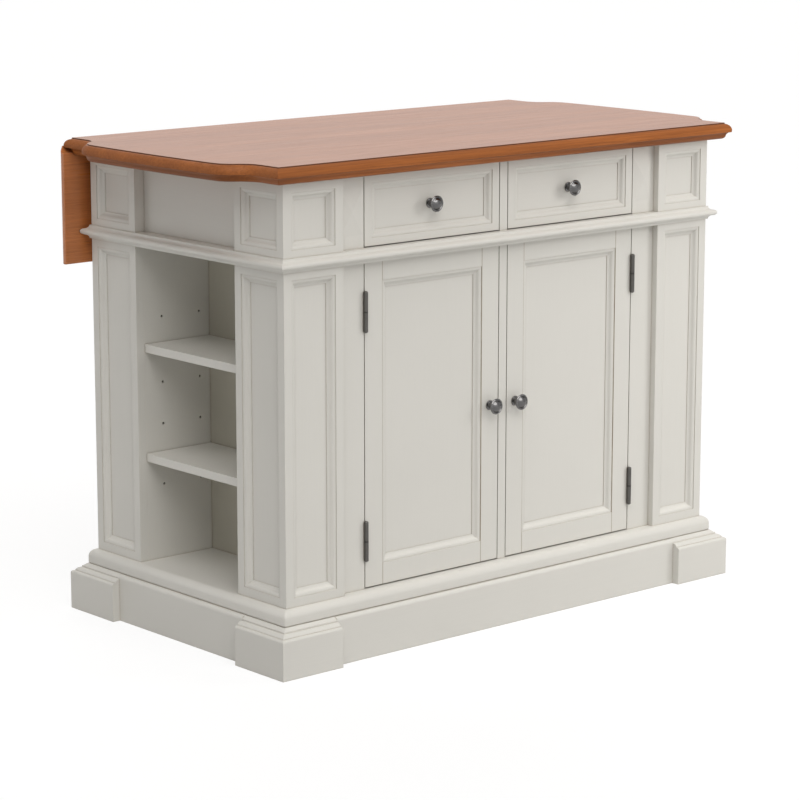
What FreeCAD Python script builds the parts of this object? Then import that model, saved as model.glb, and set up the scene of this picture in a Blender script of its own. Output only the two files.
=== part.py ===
import FreeCAD, Part
import math
import os

# Drop leaf kitchen island, millimetres, +Z up, origin on the floor at the middle of the corner blocks.
# The doors and drawers face -Y, open shelf bays close both ends (-X and +X), the leaf hangs at +Y.

# overall
BODY_LENGTH = 1150.0        # corner block to corner block, along X
BODY_WIDTH = 656.5          # corner block to corner block, along Y
HEIGHT = 914.4              # floor to worktop surface

# plinth
BLOCK_FACE = 139.0          # corner block, width of each outer face
BLOCK_LEG = 38.0            # corner block, thickness of each leg
BLOCK_CAP = 20.0            # height of the moulded cap
BLOCK_BEAD = 5.0            # radius of the cap's lower bead
RAIL_SETBACK = 16.0         # rail face behind the block face
RAIL_THICK = 22.0
RAIL_TOP = 90.0
RAIL_ROUND = 8.0
RAIL_CREST = 3.0            # height of the flat step under the cap's slope

# base moulding, a half-round board edge that carries the posts
BASE_THICK = 28.8
BASE_REACH = 24.0           # outermost point, behind the block face
BASE_WIDTH = 60.0
BOTTOM_THICK = 18.0

# posts
POST_INSET = 39.2           # post face behind the block face
POST_X = 136.0
POST_Y = 139.0
POST_WALL = 18.0
POST_MARGIN = 18.0          # post edge to panel moulding
POST_SINK = 11.0            # panel flat below the post face
LOWER_PANEL_FOOT = 17.0     # lower panel above the base moulding
LOWER_PANEL_HEAD = 14.0     # lower panel below the waist
UPPER_PANEL_FOOT = 13.5
UPPER_PANEL_HEAD = 18.2
MOULD_WIDTH = 15.6
MOULD_STEP = 1.4
MOULD_BULGE = 1.05          # depth of the ogee's two arcs

# waist moulding
UPPER_STOREY = 133.1        # waist top to worktop underside
WAIST_HEIGHT = 25.3
WAIST_REACH = 16.0          # nose beyond the post face
WAIST_FILLET = 3.2
WAIST_LIP = 1.4
WAIST_NOSE = 1.2
WAIST_SAG = 1.3

# carcass
FRAME_SETBACK = 13.0        # face frame behind the post face
FRAME_THICK = 19.0
STILE_WIDTH = 58.4          # face frame between post and opening
MULLION = 19.0
BAY_DEPTH = 170.0           # end bay, post face to its back wall
CHEEK_THICK = 18.0
END_PANEL_SETBACK = 22.0
END_PANEL_THICK = 12.0
BACK_SETBACK = 22.0
BACK_THICK = 18.0
DECK_THICK = 18.0
FACET_MARGIN = 2.0          # raised facet on the upper stile
FACET_HEIGHT = 85.0
FACET_RISE = 4.0

# worktop
BOARD_THICK = 19.0
STRIP_THICK = 13.0
STRIP_WIDTH = 60.0
TOP_INSET_X = 13.2          # ear edge behind the block face
TOP_INSET_Y = 17.8          # front and back edge behind the block face
EAR_LENGTH = 49.2           # straight part of each ear
CURVE_RADIUS = 47.5         # both arcs of the S-curve
BOW_REACH = 36.1            # middle of the bow beyond the block face
BOW_RADIUS = 4018.0
QUIRK = 2.0
EDGE_REACH = 10.4           # nose beyond the top's upper edge
NOSE_FLAT = 2.0             # nose above the board's underside
NOSE_EASE = 0.5             # eased corner under the nose
OVOLO_TURN = 40.0           # middle point of the ovolo, in degrees from its upper end
STRIP_START = 8.6           # strip profile at the joint under the board
STRIP_END = -4.5            # strip profile at the underside
STRIP_SAG = 1.6
STRIP_LAP = 6.0

# drop leaf and its rule joint
AXIS_RISE = 3.5             # hinge axis above the board's underside
JOINT_STEP = 3.0            # flat step above the round
JOINT_GAP = 0.45
LEAF_DROP = 223.0           # hinge axis to the leaf's lower edge
LEAF_OVERHANG = 12.0        # leaf's nose beyond the top's nose at each end
LEAF_CLEAR = 1.0            # strips before the leaf's inner face

# leaf hinges
LEAF_HINGE_INSET = 164.0    # outer hinges, from the leaf's ends
LEAF_HINGE_LENGTH = 36.0
LEAF_KNUCKLE_R = 3.5
LEAF_PIN_R = 1.5
LEAF_PLATE = 2.0
LEAF_PLATE_FIXED = 28.0
LEAF_PLATE_MOVING = 64.0
LEAF_PLATE_START = 6.0
NOTCH_CLEAR = 0.7
RUN_CLEAR = 0.05
KNUCKLE_GAP = 0.2

# leaf stays
STAY_INSET = 70.0           # stay, from the rear post's inner side
STAY_BACK = 12.0            # pivot inside the hinge axis
STAY_DOWN = 80.0            # pivot below the hinge axis
STAY_HALF = 6.0
STAY_THICK = 3.0
STAY_GAP = 0.4
STAY_TRAVEL = 135.0
STAY_PIN_R = 2.5
STAY_HEAD_R = 4.5
STAY_HEAD = 1.2
STAY_PLATE = 2.0
STAY_PLATE_LENGTH = 26.0
STAY_PLATE_HEIGHT = 50.0

# doors and drawer fronts
GAP = 2.0
DOOR_FOOT_GAP = 2.5
DOOR_STILE = 42.0
DOOR_RAIL_LOW = 40.0
DOOR_RAIL_HIGH = 34.7
DOOR_SINK = 10.0
DOOR_PANEL = 6.0
DOOR_GROOVE = 6.0
DRAWER_HEAD_GAP = 3.0
DRAWER_MARGIN = 17.0
DRAWER_FOOT = 14.0
DRAWER_SINK = 9.0

# drawer boxes and slides
SLIDE_SPACE = 12.7
SLIDE_HEIGHT = 36.0
SLIDE_DEPTH = 10.0
SLIDE_WALL = 1.6
SLIDE_FRONT = 4.0
SLIDE_END = 22.0            # channel before the back
SLIDE_RISE = 30.0           # lower edge above the drawer deck
TONGUE_HEIGHT = 20.0
TONGUE_CLEAR = 0.9
BOX_END = 36.0              # drawer box before the back
BOX_SIDE = 12.0
BOX_HEIGHT = 95.0
BOX_RISE = 8.0
BOX_BOTTOM = 6.0
BOX_GROOVE = 6.0
BOX_BOTTOM_RISE = 8.0

# knobs
KNOB_R = 15.0
KNOB_PROJECTION = 26.5
KNOB_NECK_R = 6.5
KNOB_FOOT_R = 9.0
KNOB_FOOT = 2.0
KNOB_RIM = 4.0
KNOB_RING_R = 11.0
KNOB_DOME = 5.0
KNOB_STUD_R = 2.0
KNOB_STUD = 7.0

# door hinges
HINGE_R = 4.1
HINGE_CLEAR = 0.3           # barrel in front of the face frame
HINGE_HEIGHT = 73.0
HINGE_INSET = 88.0          # hinge middle to the door's end
HINGE_LEAF = 1.7
HINGE_LEAF_DEPTH = 15.0
HINGE_SPLIT = 0.4
HINGE_PIN_R = 2.0
HINGE_TIP = 1.5

# shelves and pins
SHELF_THICK = 15.6
SHELF_CLEAR = 1.0
SHELF_SETBACK = 18.0
UPPER_ROWS = (138.3, 201.3, 263.8)  # pin holes below the waist, the middle one in use
LOWER_ROWS = (144.6, 194.4, 261.4)  # pin holes above the bay floor, the middle one in use
PIN_COLUMNS = (58.1, 145.7)     # behind the post face
CABINET_ROWS = (241.2, 301.2, 361.2)    # pin holes above the cabinet floor, the middle one in use
CABINET_PIN_FRONT = 60.0        # behind the face frame's back
CABINET_PIN_BACK = 76.0         # before the back
INNER_FRONT = 20.0
INNER_BACK = 25.0
PIN_R = 2.5
PIN_HOLE = 10.0
PIN_BITE = 9.0
PIN_COLLAR_R = 4.5
PIN_COLLAR = 0.9
PIN_DROP = 1.2
PIN_TAB = 1.5
PIN_TAB_HALF = 4.0
PIN_TAB_LENGTH = 9.0

# derived levels and planes, shared by the sub-parts
HX = BODY_LENGTH / 2
HY = BODY_WIDTH / 2
LEDGE = RAIL_TOP + BASE_THICK
TOP_UNDER = HEIGHT - BOARD_THICK - STRIP_THICK
BOARD_UNDER = HEIGHT - BOARD_THICK
WAIST_TOP = TOP_UNDER - UPPER_STOREY
WAIST_FOOT = WAIST_TOP - WAIST_HEIGHT
POST_FACE_X = HX - POST_INSET
POST_FACE_Y = HY - POST_INSET
POST_SIDE_X = POST_FACE_X - POST_X
POST_SIDE_Y = POST_FACE_Y - POST_Y
FRAME_FRONT = -POST_FACE_Y + FRAME_SETBACK
FRAME_BACK = FRAME_FRONT + FRAME_THICK
BACK_OUTER = POST_FACE_Y - BACK_SETBACK
BACK_INNER = BACK_OUTER - BACK_THICK
WALL_OUTER = POST_FACE_X - BAY_DEPTH
WALL_INNER = POST_SIDE_X - STILE_WIDTH
TOP_EDGE_X = HX - TOP_INSET_X
TOP_EDGE_Y = HY - TOP_INSET_Y
AXIS_Y = TOP_EDGE_Y
AXIS_Z = BOARD_UNDER + AXIS_RISE
JOINT_R = BOARD_THICK - AXIS_RISE - JOINT_STEP
COVE_R = JOINT_R + JOINT_GAP
LEAF_INNER = AXIS_Y - AXIS_RISE
LEAF_OUTER = LEAF_INNER + BOARD_THICK
LEAF_HALF = TOP_EDGE_X + EDGE_REACH + LEAF_OVERHANG
DOOR_X0 = -WALL_INNER + GAP
DOOR_X1 = -MULLION / 2 - GAP
DOOR_Z0 = LEDGE + DOOR_FOOT_GAP
DOOR_Z1 = WAIST_FOOT - DOOR_FOOT_GAP
DRAWER_Z0 = WAIST_TOP + GAP
DRAWER_Z1 = TOP_UNDER - DRAWER_HEAD_GAP
BOX_X0 = -WALL_INNER + SLIDE_SPACE
BOX_X1 = -MULLION / 2 - SLIDE_SPACE
BOX_Z0 = WAIST_TOP + BOX_RISE
SLIDE_Z0 = WAIST_TOP + SLIDE_RISE
BATTEN_BACK = AXIS_Y - LEAF_PLATE_START - LEAF_PLATE_FIXED - LEAF_CLEAR
STAY_PIVOT_Y = AXIS_Y - STAY_BACK
STAY_PIVOT_Z = AXIS_Z - STAY_DOWN
STAY_LINK = math.hypot(STAY_BACK, STAY_DOWN) / math.sqrt(2.0)
STAY_OPEN = math.degrees(math.atan2(STAY_DOWN - STAY_BACK, STAY_DOWN + STAY_BACK))
STAY_REST = STAY_OPEN - STAY_TRAVEL
HINGE_X = -WALL_INNER + GAP / 2
HINGE_Y = FRAME_FRONT - HINGE_R - HINGE_CLEAR
INNER_DEPTH = BACK_INNER - FRAME_BACK
BOX_DEPTH = INNER_DEPTH - BOX_END
SLIDE_LENGTH = INNER_DEPTH - SLIDE_FRONT - SLIDE_END
STAY_X = POST_SIDE_X - STAY_INSET
LEAF_HINGE_X = (LEAF_HINGE_INSET - LEAF_HALF, 0.0, LEAF_HALF - LEAF_HINGE_INSET)
PIN_ROWS = tuple(WAIST_FOOT - drop for drop in UPPER_ROWS) + tuple(LEDGE + rise for rise in LOWER_ROWS)
SHELF_ROWS = (PIN_ROWS[1], PIN_ROWS[4])
INNER_ROWS = tuple(LEDGE + rise for rise in CABINET_ROWS)
INNER_ROW = INNER_ROWS[1]
INNER_COLUMNS = (CABINET_PIN_FRONT, INNER_DEPTH - CABINET_PIN_BACK)
OVER = 60.0                 # reach of cutting bodies past what they cut


def vec(x, y, z):
    """Short form of a vector."""
    return FreeCAD.Vector(x, y, z)


X_AXIS = vec(1, 0, 0)
Y_AXIS = vec(0, 1, 0)
Z_AXIS = vec(0, 0, 1)
ORIGIN = vec(0, 0, 0)


def box(x0, x1, y0, y1, z0, z1):
    """Block between two corners."""
    return Part.makeBox(x1 - x0, y1 - y0, z1 - z0, vec(x0, y0, z0))


def rod(x, y, z, radius, length, axis):
    """Round bar from a point along an axis."""
    return Part.makeCylinder(radius, length, vec(x, y, z), axis)


def sagged(start, end, sag):
    """Middle point of an arc between two points of a section; a positive sag bends left of its travel."""
    run = math.hypot(end[0] - start[0], end[1] - start[1])
    across = (-(end[1] - start[1]) / run, (end[0] - start[0]) / run)
    middle = ((start[0] + end[0]) / 2, (start[1] + end[1]) / 2)
    return (middle[0] + across[0] * sag, middle[1] + across[1] * sag)


def moved(steps, place):
    """The same section steps with a mapping applied to every point."""
    return [place(*step[:2]) + (place(*step[2:]) if len(step) == 4 else ()) for step in steps]


def section_face(steps, place):
    """Face of a closed section: 2-number steps are corners, 4-number steps are arcs (middle, end)."""
    edges = []
    here = steps[0]
    for step in steps[1:] + [steps[0]]:
        end = step[-2:]
        if len(step) == 4:
            edges.append(Part.Arc(place(*here), place(*step[:2]), place(*end)).toShape())
        else:
            edges.append(Part.makeLine(place(*here), place(*end)))
        here = end
    return Part.Face(Part.Wire(edges))


def prism_x(steps, x0, x1):
    """Section in (y, z), drawn out along X."""
    return section_face(steps, lambda y, z: vec(x0, y, z)).extrude(vec(x1 - x0, 0, 0))


def prism_y(steps, y0, y1):
    """Section in (x, z), drawn out along Y."""
    return section_face(steps, lambda x, z: vec(x, y0, z)).extrude(vec(0, y1 - y0, 0))


def prism_z(steps, z0, z1):
    """Outline in (x, y), drawn out along Z."""
    return section_face(steps, lambda x, y: vec(x, y, z0)).extrude(vec(0, 0, z1 - z0))


def to_right(shape):
    """The same piece at the other end."""
    return shape.mirror(ORIGIN, X_AXIS)


def to_back(shape):
    """The same piece on the other side."""
    return shape.mirror(ORIGIN, Y_AXIS)


def both_ends(shape):
    """The piece and its twin at the other end."""
    return [shape, to_right(shape)]


def all_corners(shape):
    """The piece and its three twins."""
    return [shape, to_right(shape), to_back(shape), to_right(to_back(shape))]


def save(node, solids):
    """Write the solids of one node."""
    parts = solids if isinstance(solids, list) else [solids]
    loose = [solid for part in parts for solid in part.Solids]
    shape = loose[0] if len(loose) == 1 else Part.makeCompound(loose)
    shape.exportStep("parts/" + node + ".step")


# ---------------------------------------------------------------- mouldings round the plan

def ring_lengths(section):
    """Four mitred lengths from a section in (inset from the block face, z)."""
    reach = HY / 2
    front = prism_x(moved(section, from_front), -HX, HX)
    left = prism_y(moved(section, from_left), -HY, HY)
    front_plan = [(-HX, -HY), (HX, -HY), (HX - reach, reach - HY), (reach - HX, reach - HY)]
    left_plan = [(-HX, -HY), (reach - HX, reach - HY), (reach - HX, HY - reach), (-HX, HY)]
    front = front.common(prism_z(front_plan, 0.0, HEIGHT))
    left = left.common(prism_z(left_plan, 0.0, HEIGHT))
    return [front, to_back(front), left, to_right(left)]


def from_front(inset, z):
    """Point whose inset is measured from the front block face."""
    return (inset - HY, z)


def from_left(inset, z):
    """Point whose inset is measured from the left block face."""
    return (inset - HX, z)


def waist_section():
    """Round nose between two ogees."""
    nose = POST_INSET - WAIST_REACH
    middle = (WAIST_FOOT + WAIST_TOP) / 2
    neck = POST_INSET - WAIST_FILLET
    half = (WAIST_HEIGHT / 2 - WAIST_LIP) / 2
    waist = (nose + neck) / 2
    low = (neck, WAIST_FOOT + WAIST_LIP)
    low_mid = (waist, WAIST_FOOT + WAIST_LIP + half)
    low_nose = (nose, middle - WAIST_NOSE)
    high_nose = (nose, middle + WAIST_NOSE)
    high_mid = (waist, WAIST_TOP - WAIST_LIP - half)
    high = (neck, WAIST_TOP - WAIST_LIP)
    return [
        (POST_INSET, WAIST_FOOT),
        (POST_INSET, WAIST_TOP),
        (neck, WAIST_TOP),
        high,
        sagged(high, high_mid, WAIST_SAG) + high_mid,
        sagged(high_mid, high_nose, -WAIST_SAG) + high_nose,
        low_nose,
        sagged(low_nose, low_mid, -WAIST_SAG) + low_mid,
        sagged(low_mid, low, WAIST_SAG) + low,
        (neck, WAIST_FOOT),
    ]


def base_section():
    """Board with a half-round edge."""
    radius = BASE_THICK / 2
    inner = BASE_REACH + BASE_WIDTH
    return [
        (inner, RAIL_TOP),
        (inner, LEDGE),
        (BASE_REACH + radius, LEDGE),
        (BASE_REACH, RAIL_TOP + radius, BASE_REACH + radius, RAIL_TOP),
    ]


def rail_section():
    """Rail with a rounded upper edge."""
    face = RAIL_SETBACK
    turn = RAIL_ROUND * (1.0 - math.sqrt(0.5))
    return [
        (face, 0.0),
        (face + RAIL_THICK, 0.0),
        (face + RAIL_THICK, RAIL_TOP),
        (face + RAIL_ROUND, RAIL_TOP),
        (face + turn, RAIL_TOP - turn, face, RAIL_TOP - RAIL_ROUND),
    ]


def block_section():
    """Vertical face under a rounded bead, a cove and a small sloped crest."""
    foot = RAIL_TOP - BLOCK_CAP
    bead = BLOCK_BEAD
    crest = RAIL_TOP - RAIL_ROUND
    turn = bead * (1.0 - math.sqrt(0.5))
    cove_foot = (bead + MOULD_STEP, foot + bead + MOULD_STEP)
    cove_head = (RAIL_SETBACK, crest)
    return [
        (BLOCK_FACE, 0.0),
        (BLOCK_FACE, RAIL_TOP),
        (RAIL_SETBACK + RAIL_ROUND, RAIL_TOP),
        (RAIL_SETBACK + MOULD_STEP, crest + RAIL_CREST),
        (RAIL_SETBACK, crest + RAIL_CREST),
        cove_head,
        sagged(cove_head, cove_foot, -MOULD_STEP) + cove_foot,
        (bead + MOULD_STEP, foot + bead),
        (bead, foot + bead),
        (turn, foot + bead - turn, 0.0, foot),
        (0.0, 0.0),
    ]


def corner_block():
    """L-shaped block at the front left corner, its cap mitred at the corner."""
    section = block_section()
    facing_front = prism_x(moved(section, from_front), -HX, -HX + BLOCK_FACE)
    facing_left = prism_y(moved(section, from_left), -HY, -HY + BLOCK_FACE)
    pocket = box(-HX + BLOCK_LEG, -HX + BLOCK_FACE + OVER, -HY + BLOCK_LEG, -HY + BLOCK_FACE + OVER,
                 -OVER, RAIL_TOP + OVER)
    return facing_front.common(facing_left).cut(pocket)


def plinth_rails():
    """Rails between the corner blocks."""
    section = rail_section()
    front = prism_x(moved(section, from_front), -HX + BLOCK_FACE, HX - BLOCK_FACE)
    left = prism_y(moved(section, from_left), -HY + BLOCK_FACE, HY - BLOCK_FACE)
    return [front, to_back(front), left, to_right(left)]


# ---------------------------------------------------------------- recessed panels

def sink_steps(low, high, depth, sink_at):
    """Cutting section between two edges: step, ogee and second step on each side, down to the flat."""
    width = MOULD_WIDTH
    near = (low + MOULD_STEP, sink_at + MOULD_STEP)
    half = (low + width / 2, sink_at + depth / 2)
    foot = (low + width - MOULD_STEP, sink_at + depth - MOULD_STEP)
    bulge = MOULD_BULGE
    left = [
        (low, sink_at - OVER),
        (low, sink_at + MOULD_STEP),
        near,
        sagged(near, half, -bulge) + half,
        sagged(half, foot, bulge) + foot,
        (foot[0], sink_at + depth),
    ]
    far_foot = (high - width + MOULD_STEP, foot[1])
    far_half = (high - width / 2, half[1])
    far_near = (high - MOULD_STEP, near[1])
    right = [
        (far_foot[0], sink_at + depth),
        far_foot,
        sagged(far_foot, far_half, bulge) + far_half,
        sagged(far_half, far_near, -bulge) + far_near,
        (high, sink_at + MOULD_STEP),
        (high, sink_at - OVER),
    ]
    return left + right


def front_sink(x0, x1, z0, z1, face, depth):
    """Body that cuts a moulded recess into a face turned to -Y."""
    across = section_face(sink_steps(x0, x1, depth, face), lambda x, y: vec(x, y, z0))
    upward = section_face(sink_steps(z0, z1, depth, face), lambda z, y: vec(x0, y, z))
    return across.extrude(vec(0, 0, z1 - z0)).common(upward.extrude(vec(x1 - x0, 0, 0)))


def left_sink(y0, y1, z0, z1, face, depth):
    """Body that cuts a moulded recess into a face turned to -X."""
    across = section_face(sink_steps(y0, y1, depth, face), lambda y, x: vec(x, y, z0))
    upward = section_face(sink_steps(z0, z1, depth, face), lambda z, x: vec(x, y0, z))
    return across.extrude(vec(0, 0, z1 - z0)).common(upward.extrude(vec(0, y1 - y0, 0)))


# ---------------------------------------------------------------- posts and bays

def post():
    """Front left post: a channel of boards with two recessed panels on each outer face."""
    x0 = -POST_FACE_X
    x1 = -POST_SIDE_X
    y0 = -POST_FACE_Y
    y1 = -POST_SIDE_Y
    body = box(x0, x1, y0, y1, LEDGE, TOP_UNDER)
    hollow = box(x0 + POST_WALL, x1 - POST_WALL, y0 + POST_WALL, y1 + OVER, LEDGE - OVER, TOP_UNDER + OVER)
    seat = box(x0 + POST_WALL, x1 + OVER, y1 - CHEEK_THICK, y1 + OVER, LEDGE - OVER, TOP_UNDER + OVER)
    body = body.cut(hollow).cut(seat)
    storeys = [
        (LEDGE + LOWER_PANEL_FOOT, WAIST_FOOT - LOWER_PANEL_HEAD),
        (WAIST_TOP + UPPER_PANEL_FOOT, TOP_UNDER - UPPER_PANEL_HEAD),
    ]
    for z0, z1 in storeys:
        body = body.cut(front_sink(x0 + POST_MARGIN, x1 - POST_MARGIN, z0, z1, y0, POST_SINK))
        body = body.cut(left_sink(y0 + POST_MARGIN, y1 - POST_MARGIN, z0, z1, x0, POST_SINK))
    return body


def cheek():
    """Side wall of the left end bay at the front post, with its shelf pin holes."""
    y1 = -POST_SIDE_Y
    body = box(-POST_FACE_X + POST_WALL, -WALL_OUTER, y1 - CHEEK_THICK, y1, LEDGE, TOP_UNDER)
    for column in PIN_COLUMNS:
        for row in PIN_ROWS:
            body = body.cut(rod(-POST_FACE_X + column, y1 - PIN_HOLE, row, PIN_R + RUN_CLEAR, OVER, Y_AXIS))
    return body


def bay_top():
    """Board over the left end bay, behind the waist moulding."""
    return box(-POST_FACE_X, -WALL_OUTER, -POST_SIDE_Y, POST_SIDE_Y, WAIST_FOOT, WAIST_TOP)


def upper_end_panel():
    """Recessed panel over the left end bay."""
    x0 = -POST_FACE_X + END_PANEL_SETBACK
    return box(x0, x0 + END_PANEL_THICK, -POST_SIDE_Y, POST_SIDE_Y, WAIST_TOP, TOP_UNDER)


# ---------------------------------------------------------------- carcass

def bottom_panel():
    """Cabinet floor, flush with the base moulding."""
    inset = BASE_REACH + BASE_WIDTH
    return box(inset - HX, HX - inset, inset - HY, HY - inset, LEDGE - BOTTOM_THICK, LEDGE)


def end_wall():
    """Left wall of the cabinet, which is the back of the left end bay."""
    body = box(-WALL_OUTER, -WALL_INNER, FRAME_BACK, BACK_INNER, LEDGE, TOP_UNDER)
    for column in INNER_COLUMNS:
        for row in INNER_ROWS:
            hole = rod(-WALL_INNER - PIN_HOLE, FRAME_BACK + column, row, PIN_R + RUN_CLEAR, OVER, X_AXIS)
            body = body.cut(hole)
    return body


def drawer_deck():
    """Board under the drawers."""
    return box(-WALL_INNER, WALL_INNER, FRAME_BACK, BACK_INNER, WAIST_TOP - DECK_THICK, WAIST_TOP)


def drawer_divider():
    """Board between the drawers."""
    return box(-MULLION / 2, MULLION / 2, FRAME_BACK, BACK_INNER, WAIST_TOP, TOP_UNDER)


def back_panel():
    """Back of the door storey."""
    return box(-POST_SIDE_X, POST_SIDE_X, BACK_INNER, BACK_OUTER, LEDGE, WAIST_FOOT)


def leaf_apron():
    """Board behind the drawers that carries the leaf stays."""
    return box(-POST_SIDE_X, POST_SIDE_X, BACK_INNER, BACK_OUTER, WAIST_TOP, TOP_UNDER)


def rear_mid_rail():
    """Rail behind the waist moulding at the back."""
    return box(-POST_SIDE_X, POST_SIDE_X, BACK_INNER, POST_FACE_Y, WAIST_FOOT, WAIST_TOP)


def mid_rail():
    """Rail between the doors and the drawers."""
    return box(-POST_SIDE_X, POST_SIDE_X, -POST_FACE_Y, FRAME_BACK, WAIST_FOOT, WAIST_TOP)


def facet():
    """Shallow four-sided raised facet on the left upper stile."""
    x0 = -POST_SIDE_X + FACET_MARGIN
    x1 = -WALL_INNER - FACET_MARGIN
    middle = (WAIST_TOP + TOP_UNDER) / 2
    z0 = middle - FACET_HEIGHT / 2
    z1 = middle + FACET_HEIGHT / 2
    corners = [vec(x0, FRAME_FRONT, z0), vec(x1, FRAME_FRONT, z0), vec(x1, FRAME_FRONT, z1),
               vec(x0, FRAME_FRONT, z1)]
    peak = vec((x0 + x1) / 2, FRAME_FRONT - FACET_RISE, middle)
    faces = [Part.Face(Part.makePolygon(corners + corners[:1]))]
    for here, there in zip(corners, corners[1:] + corners[:1]):
        faces.append(Part.Face(Part.makePolygon([here, there, peak, here])))
    return Part.makeSolid(Part.makeShell(faces))


def frame_stile():
    """Face frame beside the left door and drawer, let out for the door hinges."""
    lower = box(-POST_SIDE_X, -WALL_INNER, FRAME_FRONT, FRAME_BACK, LEDGE, WAIST_FOOT)
    upper = box(-POST_SIDE_X, -WALL_INNER, FRAME_FRONT, FRAME_BACK, WAIST_TOP, TOP_UNDER)
    for middle in hinge_levels():
        lower = lower.cut(hinge_leaf_body(middle, -1.0))
    return [lower, upper.fuse(facet())]


def mullion():
    """Face frame between the doors and between the drawers."""
    half = MULLION / 2
    return [
        box(-half, half, FRAME_FRONT, FRAME_BACK, LEDGE, WAIST_FOOT),
        box(-half, half, FRAME_FRONT, FRAME_BACK, WAIST_TOP, TOP_UNDER),
    ]


# ---------------------------------------------------------------- worktop

def end_arcs():
    """Arc centres and joints of the left end's outline, front half, at the top's upper edge."""
    ear = (-TOP_EDGE_X, -TOP_EDGE_Y + EAR_LENGTH)
    concave = (ear[0] - CURVE_RADIUS, ear[1])
    bow = (-HX - BOW_REACH + BOW_RADIUS, 0.0)
    near = 2 * CURVE_RADIUS
    far = BOW_RADIUS - CURVE_RADIUS
    gap = math.hypot(bow[0] - concave[0], bow[1] - concave[1])
    along = (near ** 2 - far ** 2 + gap ** 2) / (2 * gap)
    off = math.sqrt(near ** 2 - along ** 2)
    ux = (bow[0] - concave[0]) / gap
    uy = (bow[1] - concave[1]) / gap
    convex = (concave[0] + ux * along - uy * off, concave[1] + uy * along + ux * off)
    turn = math.atan2(convex[1] - concave[1], convex[0] - concave[0])
    meet = math.atan2(convex[1] - bow[1], convex[0] - bow[0]) % (2 * math.pi)
    return ear, concave, convex, bow, turn, meet


def edge_points(offset):
    """Joints of the left end's outline at an outward offset: ear, S-curve middle, bow start, bow middle."""
    ear, concave, convex, bow, turn, meet = end_arcs()
    inner = CURVE_RADIUS - offset
    outer = CURVE_RADIUS + offset
    wide = BOW_RADIUS + offset

    def around(centre, radius, angle):
        return (centre[0] + radius * math.cos(angle), centre[1] + radius * math.sin(angle))

    start = (ear[0] - offset, ear[1])
    first = around(concave, inner, turn / 2)
    middle = around(concave, inner, turn)
    second = around(convex, outer, (turn + math.pi + meet) / 2)
    bow_start = around(bow, wide, meet)
    bow_mid = around(bow, wide, math.pi)
    return start, first, middle, second, bow_start, bow_mid


def outline_steps(offset):
    """Whole outline of the worktop at an outward offset from its upper edge."""
    start, first, middle, second, bow_start, bow_mid = edge_points(offset)
    x = TOP_EDGE_X + offset
    y = TOP_EDGE_Y + offset

    def back(point):
        return (point[0], -point[1])

    left = [
        (-x, -y),
        start,
        first + middle,
        second + bow_start,
        bow_mid + back(bow_start),
        back(second) + back(middle),
        back(first) + back(start),
        (-x, y),
    ]
    ends = [step[-2:] for step in left]
    right = []
    for place in range(len(left) - 1, 0, -1):
        target = ends[place - 1]
        arc = left[place][:2] if len(left[place]) == 4 else ()
        turned = (-arc[0], arc[1]) if arc else ()
        right.append(turned + (-target[0], target[1]))
    return left + [(x, y)] + right


def edge_run(section):
    """Front half of the left end's moulding, from a section in (outward offset, z)."""
    ear, concave, convex, bow, turn, meet = end_arcs()
    sweep = (meet - turn - math.pi) % (2 * math.pi) - 2 * math.pi
    start = section_face(section, lambda o, z: vec(ear[0] - o, -TOP_EDGE_Y - OVER, z))
    straight = start.extrude(vec(0, EAR_LENGTH + OVER, 0))
    seat = section_face(section, lambda o, z: vec(ear[0] - o, ear[1], z))
    inward = seat.revolve(vec(concave[0], concave[1], 0), Z_AXIS, math.degrees(turn))

    def on_convex(o, z):
        radius = CURVE_RADIUS + o
        angle = turn + math.pi
        return vec(convex[0] + radius * math.cos(angle), convex[1] + radius * math.sin(angle), z)

    def on_bow(o, z):
        radius = BOW_RADIUS + o
        return vec(bow[0] + radius * math.cos(meet), bow[1] + radius * math.sin(meet), z)

    outward = section_face(section, on_convex).revolve(vec(convex[0], convex[1], 0), Z_AXIS,
                                                       math.degrees(sweep))
    half_bow = section_face(section, on_bow).revolve(vec(bow[0], bow[1], 0), Z_AXIS,
                                                     math.degrees(math.pi - meet))
    return straight.fuse([inward, outward, half_bow])


def left_plan(back):
    """Plan region of the left end, mitred at the front and square at the back."""
    x = -TOP_EDGE_X
    y = -TOP_EDGE_Y
    reach = STRIP_WIDTH
    return [(x - OVER * 2, y - OVER * 2), (x + reach, y + reach), (x + reach, back), (x - OVER * 2, back)]


def front_plan():
    """Plan region of the front, mitred at both ends."""
    x = -TOP_EDGE_X
    y = -TOP_EDGE_Y
    reach = STRIP_WIDTH
    return [(x - OVER, y - OVER), (-x + OVER, y - OVER), (-x - reach, y + reach), (x + reach, y + reach)]


def edge_section():
    """Quirk, ovolo and nose of the top's and the leaf's edges, as (outward offset, depth below the top)."""
    nose = BOARD_THICK - NOSE_FLAT
    turn = math.radians(OVOLO_TURN)
    middle = (EDGE_REACH * math.sin(turn), nose - (nose - QUIRK) * math.cos(turn))
    return [
        (0.0, BOARD_THICK),
        (0.0, QUIRK),
        middle + (EDGE_REACH, nose),
        (EDGE_REACH, BOARD_THICK - NOSE_EASE),
        (STRIP_START + NOSE_EASE, BOARD_THICK),
    ]


def board_section():
    """Edge of the top board, as (outward offset, z)."""
    return moved(edge_section(), lambda out, down: (out, HEIGHT - down))


def strip_section():
    """Lower ogee of the edge, as (outward offset, z), with a lap onto the strip's core."""
    top = (STRIP_START, BOARD_UNDER)
    foot = (STRIP_END, TOP_UNDER)
    half = ((top[0] + foot[0]) / 2, (top[1] + foot[1]) / 2)
    lap = STRIP_END - STRIP_LAP
    return [(lap, TOP_UNDER), (lap, BOARD_UNDER), top, sagged(top, half, -STRIP_SAG) + half,
            sagged(half, foot, STRIP_SAG) + foot]


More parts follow.
